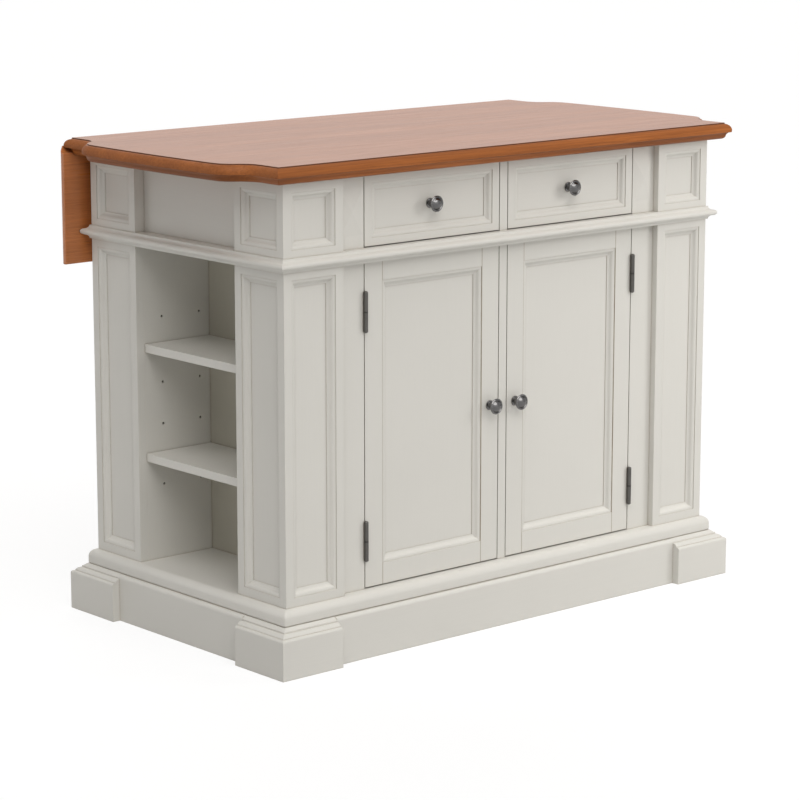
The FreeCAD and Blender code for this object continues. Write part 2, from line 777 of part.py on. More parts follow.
def front_run(section):
    """Moulding along the front, mitred at both ends."""
    y = -TOP_EDGE_Y
    run = section_face(section, lambda o, z: vec(-HX - OVER, y - o, z)).extrude(vec(2 * (HX + OVER), 0, 0))
    return run.common(prism_z(front_plan(), TOP_UNDER - OVER, HEIGHT + OVER))


def left_run(section, back):
    """Moulding along the left end, mitred at the front."""
    half = edge_run(section)
    run = half.fuse(to_back(half))
    return run.common(prism_z(left_plan(back), TOP_UNDER - OVER, HEIGHT + OVER))


def board_back():
    """Full-length back of the top board before its joint is cut, moulded at both ends."""
    y0 = AXIS_Y - JOINT_R
    y1 = AXIS_Y + JOINT_R
    edge = prism_y(moved(board_section(), lambda out, z: (-TOP_EDGE_X - out, z)), y0, y1)
    return box(-TOP_EDGE_X, TOP_EDGE_X, y0, y1, BOARD_UNDER, HEIGHT).fuse([edge, to_right(edge)])


def top_board():
    """Worktop board with its moulded front and ends and the round of the rule joint at the back."""
    core = prism_z(outline_steps(0.0), BOARD_UNDER, HEIGHT)
    section = board_section()
    left = left_run(section, AXIS_Y)
    fall = -math.asin(AXIS_RISE / JOINT_R)
    middle = (math.pi / 2 + fall) / 2
    joint = prism_x([
        (AXIS_Y - JOINT_R, BOARD_UNDER),
        (AXIS_Y - JOINT_R, AXIS_Z + JOINT_R),
        (AXIS_Y, AXIS_Z + JOINT_R),
        (AXIS_Y + JOINT_R * math.cos(middle), AXIS_Z + JOINT_R * math.sin(middle),
         AXIS_Y + JOINT_R * math.cos(fall), AXIS_Z + JOINT_R * math.sin(fall)),
    ], -TOP_EDGE_X - OVER, TOP_EDGE_X + OVER)
    joint = joint.common(board_back())
    board = core.fuse([left, to_right(left), front_run(section), joint]).removeSplitter()
    for x in LEAF_HINGE_X:
        board = board.cut(board_notch(x))
    return board


def strip_left():
    """Build-up strip with the lower moulding under the left end."""
    back = LEAF_INNER - LEAF_CLEAR
    core = prism_z(outline_steps(STRIP_END - STRIP_LAP), TOP_UNDER, BOARD_UNDER)
    core = core.common(prism_z(left_plan(back), TOP_UNDER - OVER, HEIGHT))
    return left_run(strip_section(), back).fuse(core).removeSplitter()


def strip_front():
    """Build-up strip with the lower moulding under the front."""
    core = prism_z(outline_steps(STRIP_END - STRIP_LAP), TOP_UNDER, BOARD_UNDER)
    core = core.common(prism_z(front_plan(), TOP_UNDER - OVER, HEIGHT))
    return front_run(strip_section()).fuse(core).removeSplitter()


def strip_rear():
    """Plain batten between the ends, ahead of the leaf hinges."""
    x = TOP_EDGE_X - STRIP_WIDTH
    return box(-x, x, BATTEN_BACK - STRIP_WIDTH, BATTEN_BACK, TOP_UNDER, BOARD_UNDER)


# ---------------------------------------------------------------- drop leaf

def board_notch(x):
    """Room in the board for a leaf hinge's barrel and its fixed plate."""
    half = LEAF_HINGE_LENGTH / 2
    reach = LEAF_KNUCKLE_R + NOTCH_CLEAR
    barrel = box(x - half - NOTCH_CLEAR, x + half + NOTCH_CLEAR, AXIS_Y - LEAF_PLATE_START, AXIS_Y + OVER,
                 BOARD_UNDER - OVER, AXIS_Z + reach)
    plate = box(x - half, x + half, AXIS_Y - LEAF_PLATE_START - LEAF_PLATE_FIXED, AXIS_Y,
                BOARD_UNDER - OVER, BOARD_UNDER + LEAF_PLATE)
    return barrel.fuse(plate)


def drop_leaf():
    """Hanging leaf: the cove of the rule joint above, moulded edges on the other three sides."""
    lip = (AXIS_Y + math.sqrt(COVE_R ** 2 - JOINT_GAP ** 2), AXIS_Z - JOINT_GAP)
    heel = (LEAF_INNER, AXIS_Z - math.sqrt(COVE_R ** 2 - AXIS_RISE ** 2))
    start = math.atan2(lip[1] - AXIS_Z, lip[0] - AXIS_Y)
    end = math.atan2(heel[1] - AXIS_Z, heel[0] - AXIS_Y)
    middle = (start + end) / 2
    edge_z = AXIS_Z - LEAF_DROP + EDGE_REACH
    edge_x = LEAF_HALF - EDGE_REACH
    upper = prism_x([
        (LEAF_OUTER, AXIS_Z - JOINT_GAP),
        lip,
        (AXIS_Y + COVE_R * math.cos(middle), AXIS_Z + COVE_R * math.sin(middle)) + heel,
        (LEAF_INNER, edge_z),
        (LEAF_OUTER, edge_z),
    ], -LEAF_HALF, LEAF_HALF)
    free_edge = prism_x(moved(edge_section(), lambda out, down: (LEAF_OUTER - down, edge_z - out)),
                        -LEAF_HALF, LEAF_HALF)
    end = prism_z(moved(edge_section(), lambda out, down: (-edge_x - out, LEAF_OUTER - down)), 0.0, HEIGHT)
    plan = box(-edge_x, edge_x, LEAF_INNER, LEAF_OUTER, 0.0, HEIGHT).fuse([end, to_right(end)])
    body = upper.fuse(free_edge).common(plan).removeSplitter()
    for x in LEAF_HINGE_X:
        body = body.cut(moving_plate(x))
    return body


def knuckle_span(x, place):
    """X range of one of a leaf hinge's three knuckles."""
    third = LEAF_HINGE_LENGTH / 3
    low = x - LEAF_HINGE_LENGTH / 2 + place * third
    return low + KNUCKLE_GAP / 2, low + third - KNUCKLE_GAP / 2


def leaf_knuckle(x, place):
    """One drilled knuckle."""
    low, high = knuckle_span(x, place)
    return rod(low, AXIS_Y, AXIS_Z, LEAF_KNUCKLE_R, high - low, X_AXIS)


def pin_bore(x):
    """Bore for a leaf hinge's pin."""
    half = LEAF_HINGE_LENGTH / 2
    return rod(x - half - OVER, AXIS_Y, AXIS_Z, LEAF_PIN_R + RUN_CLEAR, LEAF_HINGE_LENGTH + 2 * OVER, X_AXIS)


def fixed_plate(x):
    """Plate under the board with the two outer knuckles."""
    half = LEAF_HINGE_LENGTH / 2
    z0 = BOARD_UNDER
    z1 = BOARD_UNDER + LEAF_PLATE
    y0 = AXIS_Y - LEAF_PLATE_START
    body = box(x - half, x + half, y0 - LEAF_PLATE_FIXED, y0, z0, z1)
    for place in (0, 2):
        low, high = knuckle_span(x, place)
        body = body.fuse([box(low, high, y0, AXIS_Y, z0, z1), leaf_knuckle(x, place)])
    return body.cut(pin_bore(x))


def moving_plate(x):
    """Plate on the leaf's inner face with the middle knuckle."""
    half = LEAF_HINGE_LENGTH / 2
    y0 = LEAF_INNER
    y1 = LEAF_INNER + LEAF_PLATE
    z1 = AXIS_Z - LEAF_PLATE_START
    low, high = knuckle_span(x, 1)
    body = box(x - half, x + half, y0, y1, z1 - LEAF_PLATE_MOVING, z1)
    body = body.fuse([box(low, high, y0, y1, z1, AXIS_Z), leaf_knuckle(x, 1)])
    return body.cut(pin_bore(x))


def leaf_pin(x):
    """Pin through the three knuckles."""
    low = knuckle_span(x, 0)[0]
    high = knuckle_span(x, 2)[1]
    return rod(low, AXIS_Y, AXIS_Z, LEAF_PIN_R, high - low, X_AXIS)


# ---------------------------------------------------------------- leaf stays

def stay_layer(place):
    """X range of one layer of the right stay: bracket, link, link, bracket."""
    low = STAY_X + place * (STAY_THICK + STAY_GAP)
    return low, low + STAY_THICK


def stay_arm(x0, x1, start, end):
    """Flat bar with round ends between two points in (y, z)."""
    length = math.hypot(end[0] - start[0], end[1] - start[1])
    across = ((start[1] - end[1]) / length * STAY_HALF, (end[0] - start[0]) / length * STAY_HALF)
    outline = [
        (start[0] + across[0], start[1] + across[1]),
        (end[0] + across[0], end[1] + across[1]),
        (end[0] - across[0], end[1] - across[1]),
        (start[0] - across[0], start[1] - across[1]),
    ]
    bar = prism_x(outline, x0, x1)
    caps = [rod(x0, point[0], point[1], STAY_HALF, x1 - x0, X_AXIS) for point in (start, end)]
    return bar.fuse(caps).removeSplitter()


def stay_knee():
    """Middle pivot of the folded stay, in (y, z)."""
    angle = math.radians(STAY_REST)
    return (STAY_PIVOT_Y + STAY_LINK * math.cos(angle), STAY_PIVOT_Z + STAY_LINK * math.sin(angle))


def cabinet_link():
    """Right stay, link on the cabinet, with the rivet head of the middle pivot."""
    x0, x1 = stay_layer(1)
    pivot = (STAY_PIVOT_Y, STAY_PIVOT_Z)
    knee = stay_knee()
    body = stay_arm(x0, x1, pivot, knee)
    head = rod(x0 - STAY_HEAD, knee[0], knee[1], STAY_HEAD_R, STAY_HEAD, X_AXIS)
    bore = rod(x0 - OVER, pivot[0], pivot[1], STAY_PIN_R + RUN_CLEAR, 2 * OVER, X_AXIS)
    return body.fuse(head).cut(bore)


def leaf_link():
    """Right stay, link on the leaf, with the other rivet head of the middle pivot."""
    x0, x1 = stay_layer(2)
    pivot = (STAY_PIVOT_Y, STAY_PIVOT_Z)
    knee = stay_knee()
    body = stay_arm(x0, x1, pivot, knee)
    head = rod(x1, knee[0], knee[1], STAY_HEAD_R, STAY_HEAD, X_AXIS)
    bore = rod(x0 - OVER, pivot[0], pivot[1], STAY_PIN_R + RUN_CLEAR, 2 * OVER, X_AXIS)
    return body.fuse(head).cut(bore)


def cabinet_bracket():
    """Right stay, bracket on the apron with its pivot pin."""
    x0, x1 = stay_layer(0)
    pin_end = stay_layer(1)[1]
    low = STAY_PIVOT_Z - STAY_PLATE_HEIGHT / 2
    plate = box(x1 - STAY_PLATE_LENGTH, x1, BACK_OUTER, BACK_OUTER + STAY_PLATE, low, low + STAY_PLATE_HEIGHT)
    arm = stay_arm(x0, x1, (BACK_OUTER + STAY_HALF, STAY_PIVOT_Z), (STAY_PIVOT_Y, STAY_PIVOT_Z))
    pin = rod(x0, STAY_PIVOT_Y, STAY_PIVOT_Z, STAY_PIN_R, pin_end - x0, X_AXIS)
    head = rod(x0 - STAY_HEAD, STAY_PIVOT_Y, STAY_PIVOT_Z, STAY_HEAD_R, STAY_HEAD, X_AXIS)
    return plate.fuse([arm, pin, head])


def leaf_bracket():
    """Right stay, bracket on the leaf with its pivot pin."""
    x0, x1 = stay_layer(3)
    pin_start = stay_layer(2)[0]
    low = STAY_PIVOT_Z - STAY_PLATE_HEIGHT / 2
    plate = box(x0, x0 + STAY_PLATE_LENGTH, LEAF_INNER - STAY_PLATE, LEAF_INNER, low, low + STAY_PLATE_HEIGHT)
    lug = box(x0, x1, STAY_PIVOT_Y, LEAF_INNER, STAY_PIVOT_Z - STAY_HALF, STAY_PIVOT_Z + STAY_HALF)
    nose = rod(x0, STAY_PIVOT_Y, STAY_PIVOT_Z, STAY_HALF, x1 - x0, X_AXIS)
    pin = rod(pin_start, STAY_PIVOT_Y, STAY_PIVOT_Z, STAY_PIN_R, x1 - pin_start, X_AXIS)
    head = rod(x1, STAY_PIVOT_Y, STAY_PIVOT_Z, STAY_HEAD_R, STAY_HEAD, X_AXIS)
    return plate.fuse([lug, nose, pin, head])


# ---------------------------------------------------------------- doors

def hinge_levels():
    """Heights of the two door hinges' middles."""
    return (DOOR_Z0 + HINGE_INSET, DOOR_Z1 - HINGE_INSET)


def door_plans():
    """Outlines in (x, z) of the left door's stiles and rails, mitred across their moulding."""
    x0, x1 = DOOR_X0, DOOR_X1
    z0, z1 = DOOR_Z0, DOOR_Z1
    left = x0 + DOOR_STILE
    right = x1 - DOOR_STILE
    low = z0 + DOOR_RAIL_LOW
    high = z1 - DOOR_RAIL_HIGH
    step = MOULD_WIDTH
    left_stile = [(x0, z0), (left, z0), (left, low), (left + step, low + step),
                  (left + step, high - step), (left, high), (left, z1), (x0, z1)]
    right_stile = [(x1, z0), (x1, z1), (right, z1), (right, high), (right - step, high - step),
                   (right - step, low + step), (right, low), (right, z0)]
    low_rail = [(left, z0), (right, z0), (right, low), (right - step, low + step),
                (left + step, low + step), (left, low)]
    high_rail = [(left, z1), (left, high), (left + step, high - step), (right - step, high - step),
                 (right, high), (right, z1)]
    return [left_stile, right_stile, low_rail, high_rail]


def door_field():
    """Flat field of the left door's panel, as x0, x1, z0, z1."""
    return (DOOR_X0 + DOOR_STILE + MOULD_WIDTH, DOOR_X1 - DOOR_STILE - MOULD_WIDTH,
            DOOR_Z0 + DOOR_RAIL_LOW + MOULD_WIDTH, DOOR_Z1 - DOOR_RAIL_HIGH - MOULD_WIDTH)


def door_panel():
    """Panel of the left door, held in the frame's groove."""
    x0, x1, z0, z1 = door_field()
    y0 = FRAME_FRONT + DOOR_SINK
    return box(x0 - DOOR_GROOVE, x1 + DOOR_GROOVE, y0, y0 + DOOR_PANEL, z0 - DOOR_GROOVE, z1 + DOOR_GROOVE)


def door_frame():
    """Stiles and rails of the left door with their moulded inner edge."""
    x0, x1, z0, z1 = door_field()
    blank = box(DOOR_X0, DOOR_X1, FRAME_FRONT, FRAME_BACK, DOOR_Z0, DOOR_Z1)
    sink = front_sink(x0 - MOULD_WIDTH, x1 + MOULD_WIDTH, z0 - MOULD_WIDTH, z1 + MOULD_WIDTH, FRAME_FRONT,
                      DOOR_SINK)
    field = box(x0, x1, FRAME_FRONT - OVER, FRAME_BACK + OVER, z0, z1)
    blank = blank.cut(sink).cut(field).cut(door_panel())
    for middle in hinge_levels():
        blank = blank.cut(hinge_leaf_body(middle, 1.0))
    blank = blank.cut(stud_bore(DOOR_X1 - DOOR_STILE / 2, FRAME_FRONT, (DOOR_Z0 + DOOR_Z1) / 2))
    return [blank.common(prism_y(plan, FRAME_FRONT - OVER, FRAME_BACK + OVER)) for plan in door_plans()]


def hinge_leaf_body(middle, side):
    """Flat leaf of a left door hinge, on the frame (-1) or on the door (1) side of the gap."""
    near = HINGE_X + side * KNUCKLE_GAP
    far = near + side * HINGE_LEAF
    z0 = middle - HINGE_HEIGHT / 2
    return box(min(near, far), max(near, far), HINGE_Y, FRAME_FRONT + HINGE_LEAF_DEPTH, z0, z0 + HINGE_HEIGHT)


def hinge_half(middle, side):
    """Leaf and half barrel of a left door hinge: the frame carries the lower half, the door the upper."""
    length = (HINGE_HEIGHT - HINGE_SPLIT) / 2
    z0 = middle - HINGE_HEIGHT / 2 if side < 0 else middle + HINGE_SPLIT / 2
    other = middle + HINGE_SPLIT / 2 if side < 0 else middle - HINGE_HEIGHT / 2
    reach = 2 * HINGE_R + HINGE_CLEAR
    barrel = rod(HINGE_X, HINGE_Y, z0, HINGE_R, length, Z_AXIS)
    room = box(HINGE_X - reach, HINGE_X + reach, HINGE_Y - reach, FRAME_FRONT,
               other - HINGE_SPLIT, other + length + HINGE_SPLIT)
    bore = rod(HINGE_X, HINGE_Y, z0 - OVER, HINGE_PIN_R + RUN_CLEAR, length + 2 * OVER, Z_AXIS)
    return hinge_leaf_body(middle, side).cut(room).fuse(barrel).cut(bore)


def hinge_pin(middle):
    """Pin of a left door hinge with a domed tip at each end."""
    half = HINGE_HEIGHT / 2
    pin = rod(HINGE_X, HINGE_Y, middle - half, HINGE_PIN_R, HINGE_HEIGHT, Z_AXIS)
    radius = HINGE_R - KNUCKLE_GAP
    upper = Part.makeCone(radius, HINGE_PIN_R, HINGE_TIP, vec(HINGE_X, HINGE_Y, middle + half), Z_AXIS)
    lower = Part.makeCone(HINGE_PIN_R, radius, HINGE_TIP, vec(HINGE_X, HINGE_Y, middle - half - HINGE_TIP),
                          Z_AXIS)
    return pin.fuse([upper, lower])


# ---------------------------------------------------------------- drawers

def drawer_front():
    """Left drawer front with its recessed panel."""
    body = box(DOOR_X0, DOOR_X1, FRAME_FRONT, FRAME_BACK, DRAWER_Z0, DRAWER_Z1)
    sink = front_sink(DOOR_X0 + DRAWER_MARGIN, DOOR_X1 - DRAWER_MARGIN, DRAWER_Z0 + DRAWER_FOOT,
                      DRAWER_Z1 - DRAWER_FOOT, FRAME_FRONT, DRAWER_SINK)
    bore = stud_bore((DOOR_X0 + DOOR_X1) / 2, FRAME_FRONT, (DRAWER_Z0 + DRAWER_Z1) / 2)
    return body.cut(sink).cut(bore)


def drawer_bottom():
    """Bottom of the left drawer, held in the box's grooves."""
    reach = BOX_SIDE - BOX_GROOVE
    z0 = BOX_Z0 + BOX_BOTTOM_RISE
    return box(BOX_X0 + reach, BOX_X1 - reach, FRAME_BACK + reach, FRAME_BACK + BOX_DEPTH - reach,
               z0, z0 + BOX_BOTTOM)


def drawer_box():
    """Sides, inner front and back of the left drawer."""
    y0 = FRAME_BACK
    y1 = FRAME_BACK + BOX_DEPTH
    z1 = BOX_Z0 + BOX_HEIGHT
    boards = [
        box(BOX_X0, BOX_X0 + BOX_SIDE, y0, y1, BOX_Z0, z1),
        box(BOX_X1 - BOX_SIDE, BOX_X1, y0, y1, BOX_Z0, z1),
        box(BOX_X0 + BOX_SIDE, BOX_X1 - BOX_SIDE, y0, y0 + BOX_SIDE, BOX_Z0, z1),
        box(BOX_X0 + BOX_SIDE, BOX_X1 - BOX_SIDE, y1 - BOX_SIDE, y1, BOX_Z0, z1),
    ]
    return [board.cut(drawer_bottom()) for board in boards]


def slide_rail(face, side):
    """Channel on a wall; side is 1 where the drawer lies to its right."""
    y0 = FRAME_BACK + SLIDE_FRONT
    y1 = y0 + SLIDE_LENGTH
    z1 = SLIDE_Z0 + SLIDE_HEIGHT
    outer = sorted((face, face + side * SLIDE_DEPTH))
    inner = sorted((face + side * SLIDE_WALL, face + side * (SLIDE_DEPTH + OVER)))
    body = box(outer[0], outer[1], y0, y1, SLIDE_Z0, z1)
    return body.cut(box(inner[0], inner[1], y0 - OVER, y1 + OVER, SLIDE_Z0 + SLIDE_WALL, z1 - SLIDE_WALL))


def slide_runner(face, side):
    """Runner on a drawer side, its tongue inside the channel."""
    y0 = FRAME_BACK + SLIDE_FRONT
    y1 = FRAME_BACK + BOX_DEPTH
    middle = SLIDE_Z0 + SLIDE_HEIGHT / 2
    web = sorted((face, face - side * SLIDE_WALL))
    tongue = sorted((face, face - side * (SLIDE_SPACE - SLIDE_WALL - TONGUE_CLEAR)))
    body = box(web[0], web[1], y0, y1, SLIDE_Z0, SLIDE_Z0 + SLIDE_HEIGHT)
    half = TONGUE_HEIGHT / 2
    return body.fuse(box(tongue[0], tongue[1], y0, y1, middle - half, middle + half)).removeSplitter()


def slide_rails():
    """The four channels."""
    return both_ends(slide_rail(-WALL_INNER, 1.0)) + both_ends(slide_rail(-MULLION / 2, -1.0))


def drawer_runners():
    """Both runners of the left drawer."""
    return [slide_runner(BOX_X0, 1.0), slide_runner(BOX_X1, -1.0)]


# ---------------------------------------------------------------- knobs

def stud_bore(x, y, z):
    """Hole for a knob's stud, from the front."""
    return rod(x, y - OVER, z, KNOB_STUD_R + RUN_CLEAR, OVER + FRAME_THICK * 2, Y_AXIS)


def knob(x, y, z):
    """Domed knob with a ringed edge, a waisted neck, a foot and its stud, on a face turned to -Y."""
    rim = KNOB_PROJECTION - KNOB_DOME
    back = rim - KNOB_RIM
    turn = ((KNOB_NECK_R + KNOB_R) / 2, back - MOULD_STEP)
    cap = KNOB_RING_R - MOULD_STEP
    ball = (cap ** 2 + KNOB_DOME ** 2) / (2 * KNOB_DOME)
    half = math.asin(cap / ball) / 2
    dome = (ball * math.sin(half), KNOB_PROJECTION - ball + ball * math.cos(half))
    steps = [
        (0.0, -KNOB_STUD),
        (KNOB_STUD_R, -KNOB_STUD),
        (KNOB_STUD_R, 0.0),
        (KNOB_FOOT_R, 0.0),
        (KNOB_FOOT_R, KNOB_FOOT),
        (KNOB_NECK_R, KNOB_FOOT + MOULD_STEP),
        (KNOB_NECK_R, back - KNOB_RIM),
        turn + (KNOB_R - MOULD_STEP, back),
        (KNOB_R, back + MOULD_STEP),
        (KNOB_R, rim - MOULD_STEP),
        (KNOB_R - MOULD_STEP, rim),
        (KNOB_RING_R + MOULD_STEP, rim),
        (KNOB_RING_R, rim - MOULD_STEP),
        (KNOB_RING_R - MOULD_STEP, rim),
        dome + (0.0, KNOB_PROJECTION),
    ]
    face = section_face(steps, lambda radius, out: vec(x + radius, y - out, z))
    return face.revolve(vec(x, y, z), Y_AXIS, 360.0)


def drawer_knob():
    """Knob in the middle of the left drawer front."""
    return knob((DOOR_X0 + DOOR_X1) / 2, FRAME_FRONT + DRAWER_SINK, (DRAWER_Z0 + DRAWER_Z1) / 2)


def door_knob():
    """Knob half way up the left door's closing stile."""
    return knob(DOOR_X1 - DOOR_STILE / 2, FRAME_FRONT, (DOOR_Z0 + DOOR_Z1) / 2)


# ---------------------------------------------------------------- shelves

def end_shelf(row):
    """Shelf in the left end bay."""
    z0 = row - PIN_DROP
    y = POST_SIDE_Y - SHELF_CLEAR
    return box(-POST_FACE_X + SHELF_SETBACK, -WALL_OUTER - SHELF_CLEAR, -y, y, z0, z0 + SHELF_THICK)


def inner_shelf():
    """Shelf behind the doors."""
    z0 = INNER_ROW - PIN_DROP
    x = WALL_INNER - SHELF_CLEAR
    return box(-x, x, FRAME_BACK + INNER_FRONT, BACK_INNER - INNER_BACK, z0, z0 + SHELF_THICK)


def pin_at_cheek(x, row):
    """Shelf pin in the front cheek of the left bay."""
    y = -POST_SIDE_Y
    peg = rod(x, y - PIN_BITE, row, PIN_R, PIN_BITE + PIN_COLLAR, Y_AXIS)
    collar = rod(x, y, row, PIN_COLLAR_R, PIN_COLLAR, Y_AXIS)
    under = box(x - PIN_COLLAR_R, x + PIN_COLLAR_R, y + PIN_COLLAR, y + PIN_COLLAR + OVER, row - PIN_DROP,
                row + OVER)
    z1 = row - PIN_DROP
    tab = box(x - PIN_TAB_HALF, x + PIN_TAB_HALF, y, y + PIN_TAB_LENGTH, z1 - PIN_TAB, z1)
    return peg.fuse([collar, tab]).cut(under)


def pin_at_wall(y, row):
    """Shelf pin in the left cabinet wall."""
    pin = pin_at_cheek(0.0, row)
    pin.translate(vec(0, POST_SIDE_Y, 0))
    pin.rotate(ORIGIN, Z_AXIS, -90.0)
    pin.translate(vec(-WALL_INNER, y, 0))
    return pin


def shelf_pins():
    """All shelf pins."""
    pins = []
    for row in SHELF_ROWS:
        for column in PIN_COLUMNS:
            pins += all_corners(pin_at_cheek(-POST_FACE_X + column, row))
    for column in INNER_COLUMNS:
        pins += both_ends(pin_at_wall(FRAME_BACK + column, INNER_ROW))
    return pins


# ---------------------------------------------------------------- assembly

def build_base():
    """Plinth, base moulding and cabinet floor."""
    save("corner_blocks", all_corners(corner_block()))
    save("plinth_rails", plinth_rails())
    save("base_moulding", ring_lengths(base_section()))
    save("bottom_panel", bottom_panel())


def build_posts():
    """Posts, bay walls and the waist moulding."""
    front_left = post()
    save("post_front_left", front_left)
    save("post_front_right", to_right(front_left))
    save("post_rear_left", to_back(front_left))
    save("post_rear_right", to_right(to_back(front_left)))
    save("bay_cheeks", all_corners(cheek()))
    save("bay_tops", both_ends(bay_top()))
    save("upper_end_panels", both_ends(upper_end_panel()))
    save("waist_moulding", ring_lengths(waist_section()))


def build_carcass():
    """Walls, rails and boards of the cabinet."""
    save("end_wall_left", end_wall())
    save("end_wall_right", to_right(end_wall()))
    save("drawer_deck", drawer_deck())
    save("drawer_divider", drawer_divider())
    save("back_panel", back_panel())
    save("leaf_apron", leaf_apron())
    save("rear_mid_rail", rear_mid_rail())
    save("mid_rail", mid_rail())
    save("mullion", mullion())
    stile = frame_stile()
    save("frame_stile_left", stile)
    save("frame_stile_right", [to_right(piece) for piece in stile])


def build_top():
    """Worktop, leaf, leaf hinges and stays."""
    save("top_board", top_board())
    left = strip_left()
    save("top_edge_left", left)
    save("top_edge_right", to_right(left))
    save("top_edge_front", strip_front())
    save("top_batten_rear", strip_rear())
    save("drop_leaf", drop_leaf())
    save("leaf_hinge_fixed_plates", [fixed_plate(x) for x in LEAF_HINGE_X])
    save("leaf_hinge_moving_plates", [moving_plate(x) for x in LEAF_HINGE_X])
    save("leaf_hinge_pins", [leaf_pin(x) for x in LEAF_HINGE_X])
    save("stay_cabinet_brackets", both_ends(cabinet_bracket()))
    save("stay_leaf_brackets", both_ends(leaf_bracket()))
    save("stay_cabinet_links", both_ends(cabinet_link()))
    save("stay_leaf_links", both_ends(leaf_link()))


def build_doors():
    """Both doors with their hinges and knobs."""
    frame = door_frame()
    levels = hinge_levels()
    on_door = [hinge_half(middle, 1.0) for middle in levels]
    on_frame = [hinge_half(middle, -1.0) for middle in levels]
    pins = [hinge_pin(middle) for middle in levels]
    save("door_left_frame", frame)
    save("door_right_frame", [to_right(piece) for piece in frame])
    save("door_left_panel", door_panel())
    save("door_right_panel", to_right(door_panel()))
    save("door_left_hinge_leaves", on_door)
    save("door_right_hinge_leaves", [to_right(piece) for piece in on_door])
    save("door_hinge_frame_leaves", on_frame + [to_right(piece) for piece in on_frame])
    save("door_hinge_pins", pins + [to_right(piece) for piece in pins])
    save("knob_door_left", door_knob())
    save("knob_door_right", to_right(door_knob()))


def build_drawers():
    """Both drawers with their slides and knobs."""
    boards = drawer_box()
    runners = drawer_runners()
    save("drawer_left_front", drawer_front())
    save("drawer_right_front", to_right(drawer_front()))
    save("drawer_left_box", boards)
    save("drawer_right_box", [to_right(piece) for piece in boards])
    save("drawer_left_bottom", drawer_bottom())
    save("drawer_right_bottom", to_right(drawer_bottom()))
    save("drawer_slide_rails", slide_rails())
    save("drawer_left_runners", runners)
    save("drawer_right_runners", [to_right(piece) for piece in runners])
    save("knob_drawer_left", drawer_knob())
    save("knob_drawer_right", to_right(drawer_knob()))


def build_shelves():
    """End shelves, inner shelf and their pins."""
    shelves = [end_shelf(row) for row in SHELF_ROWS]
    save("end_shelves", shelves + [to_right(shelf) for shelf in shelves])
    save("inner_shelf", inner_shelf())
    save("shelf_pins", shelf_pins())


os.makedirs("parts", exist_ok=True)
build_base()
build_posts()
build_carcass()
build_top()
build_doors()
build_drawers()
build_shelves()
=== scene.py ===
import logging
import math
from dataclasses import dataclass
from enum import Enum
from itertools import product
from typing import Any, Iterable, Optional, Union

import bmesh
import bpy
from mathutils import Matrix, Vector


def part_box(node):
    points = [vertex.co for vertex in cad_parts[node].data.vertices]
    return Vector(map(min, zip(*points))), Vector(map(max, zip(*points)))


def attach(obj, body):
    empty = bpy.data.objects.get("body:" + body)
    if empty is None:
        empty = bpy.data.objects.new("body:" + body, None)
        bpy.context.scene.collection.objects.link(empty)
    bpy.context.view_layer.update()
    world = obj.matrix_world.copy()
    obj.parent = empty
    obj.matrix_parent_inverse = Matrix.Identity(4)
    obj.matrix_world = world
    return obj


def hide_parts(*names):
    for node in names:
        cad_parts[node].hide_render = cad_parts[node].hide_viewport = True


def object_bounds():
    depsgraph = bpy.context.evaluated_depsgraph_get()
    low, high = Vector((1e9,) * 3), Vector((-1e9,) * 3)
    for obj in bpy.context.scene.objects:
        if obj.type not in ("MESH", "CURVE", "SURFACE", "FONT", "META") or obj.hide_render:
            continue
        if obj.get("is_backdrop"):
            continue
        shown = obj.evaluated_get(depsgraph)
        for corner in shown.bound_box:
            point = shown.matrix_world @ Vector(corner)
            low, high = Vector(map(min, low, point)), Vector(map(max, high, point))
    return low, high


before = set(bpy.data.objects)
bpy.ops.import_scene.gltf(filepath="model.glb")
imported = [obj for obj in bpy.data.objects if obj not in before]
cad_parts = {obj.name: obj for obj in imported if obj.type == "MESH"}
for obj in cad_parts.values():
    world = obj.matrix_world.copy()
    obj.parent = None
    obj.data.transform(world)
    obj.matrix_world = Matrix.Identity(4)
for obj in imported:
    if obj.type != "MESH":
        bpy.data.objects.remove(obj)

logging.basicConfig(level=logging.INFO, format="%(message)s")
log = logging.getLogger("island")

Triple = tuple[float, float, float]
Colour = Triple
Point = tuple[float, float]
Row = list[bmesh.types.BMVert]

ORIGIN = (0.0, 0.0, 0.0)
ALONG_X = (1.0, 0.0, 0.0)
UP = (0.0, 0.0, 1.0)
WHITE = (1.0, 1.0, 1.0)
WARM_WHITE = (1.0, 0.985, 0.965)


def srgb(red: int, green: int, blue: int) -> Colour:
    """Turns a display colour into the linear values that shaders take.

    Args:
        red: Red, 0 to 255.
        green: Green, 0 to 255.
        blue: Blue, 0 to 255.

    Returns:
        The three linear channels.
    """

    def channel(value: int) -> float:
        """One channel, by the curve that displays use."""
        share = value / 255
        return share / 12.92 if share <= 0.04045 else ((share + 0.055) / 1.055) ** 2.4

    return channel(red), channel(green), channel(blue)


def shaded(colour: Colour, share: float) -> Colour:
    """A darker shade of a colour, with this share of its light."""
    return tuple(channel * share for channel in colour)


# ---------------------------------------------------------------- shader graphs


@dataclass(frozen=True)
class Span:
    """Range of numbers, which may run downwards."""

    start: float
    end: float

    def shifted(self, by: float) -> "Span":
        """The same range, moved up by a number."""
        return Span(self.start + by, self.end + by)


WHOLE = Span(0.0, 1.0)
EDGE_TURN = Span(0.995, 0.80)
CREVICE = Span(0.85, 0.30)
SHADER_RAYS = 6

# Sockets that share their names with others are found by number.
SCALE_FACTOR = 3
MIX_FIRST = 6
MIX_SECOND = 7
MIX_RESULT = 2


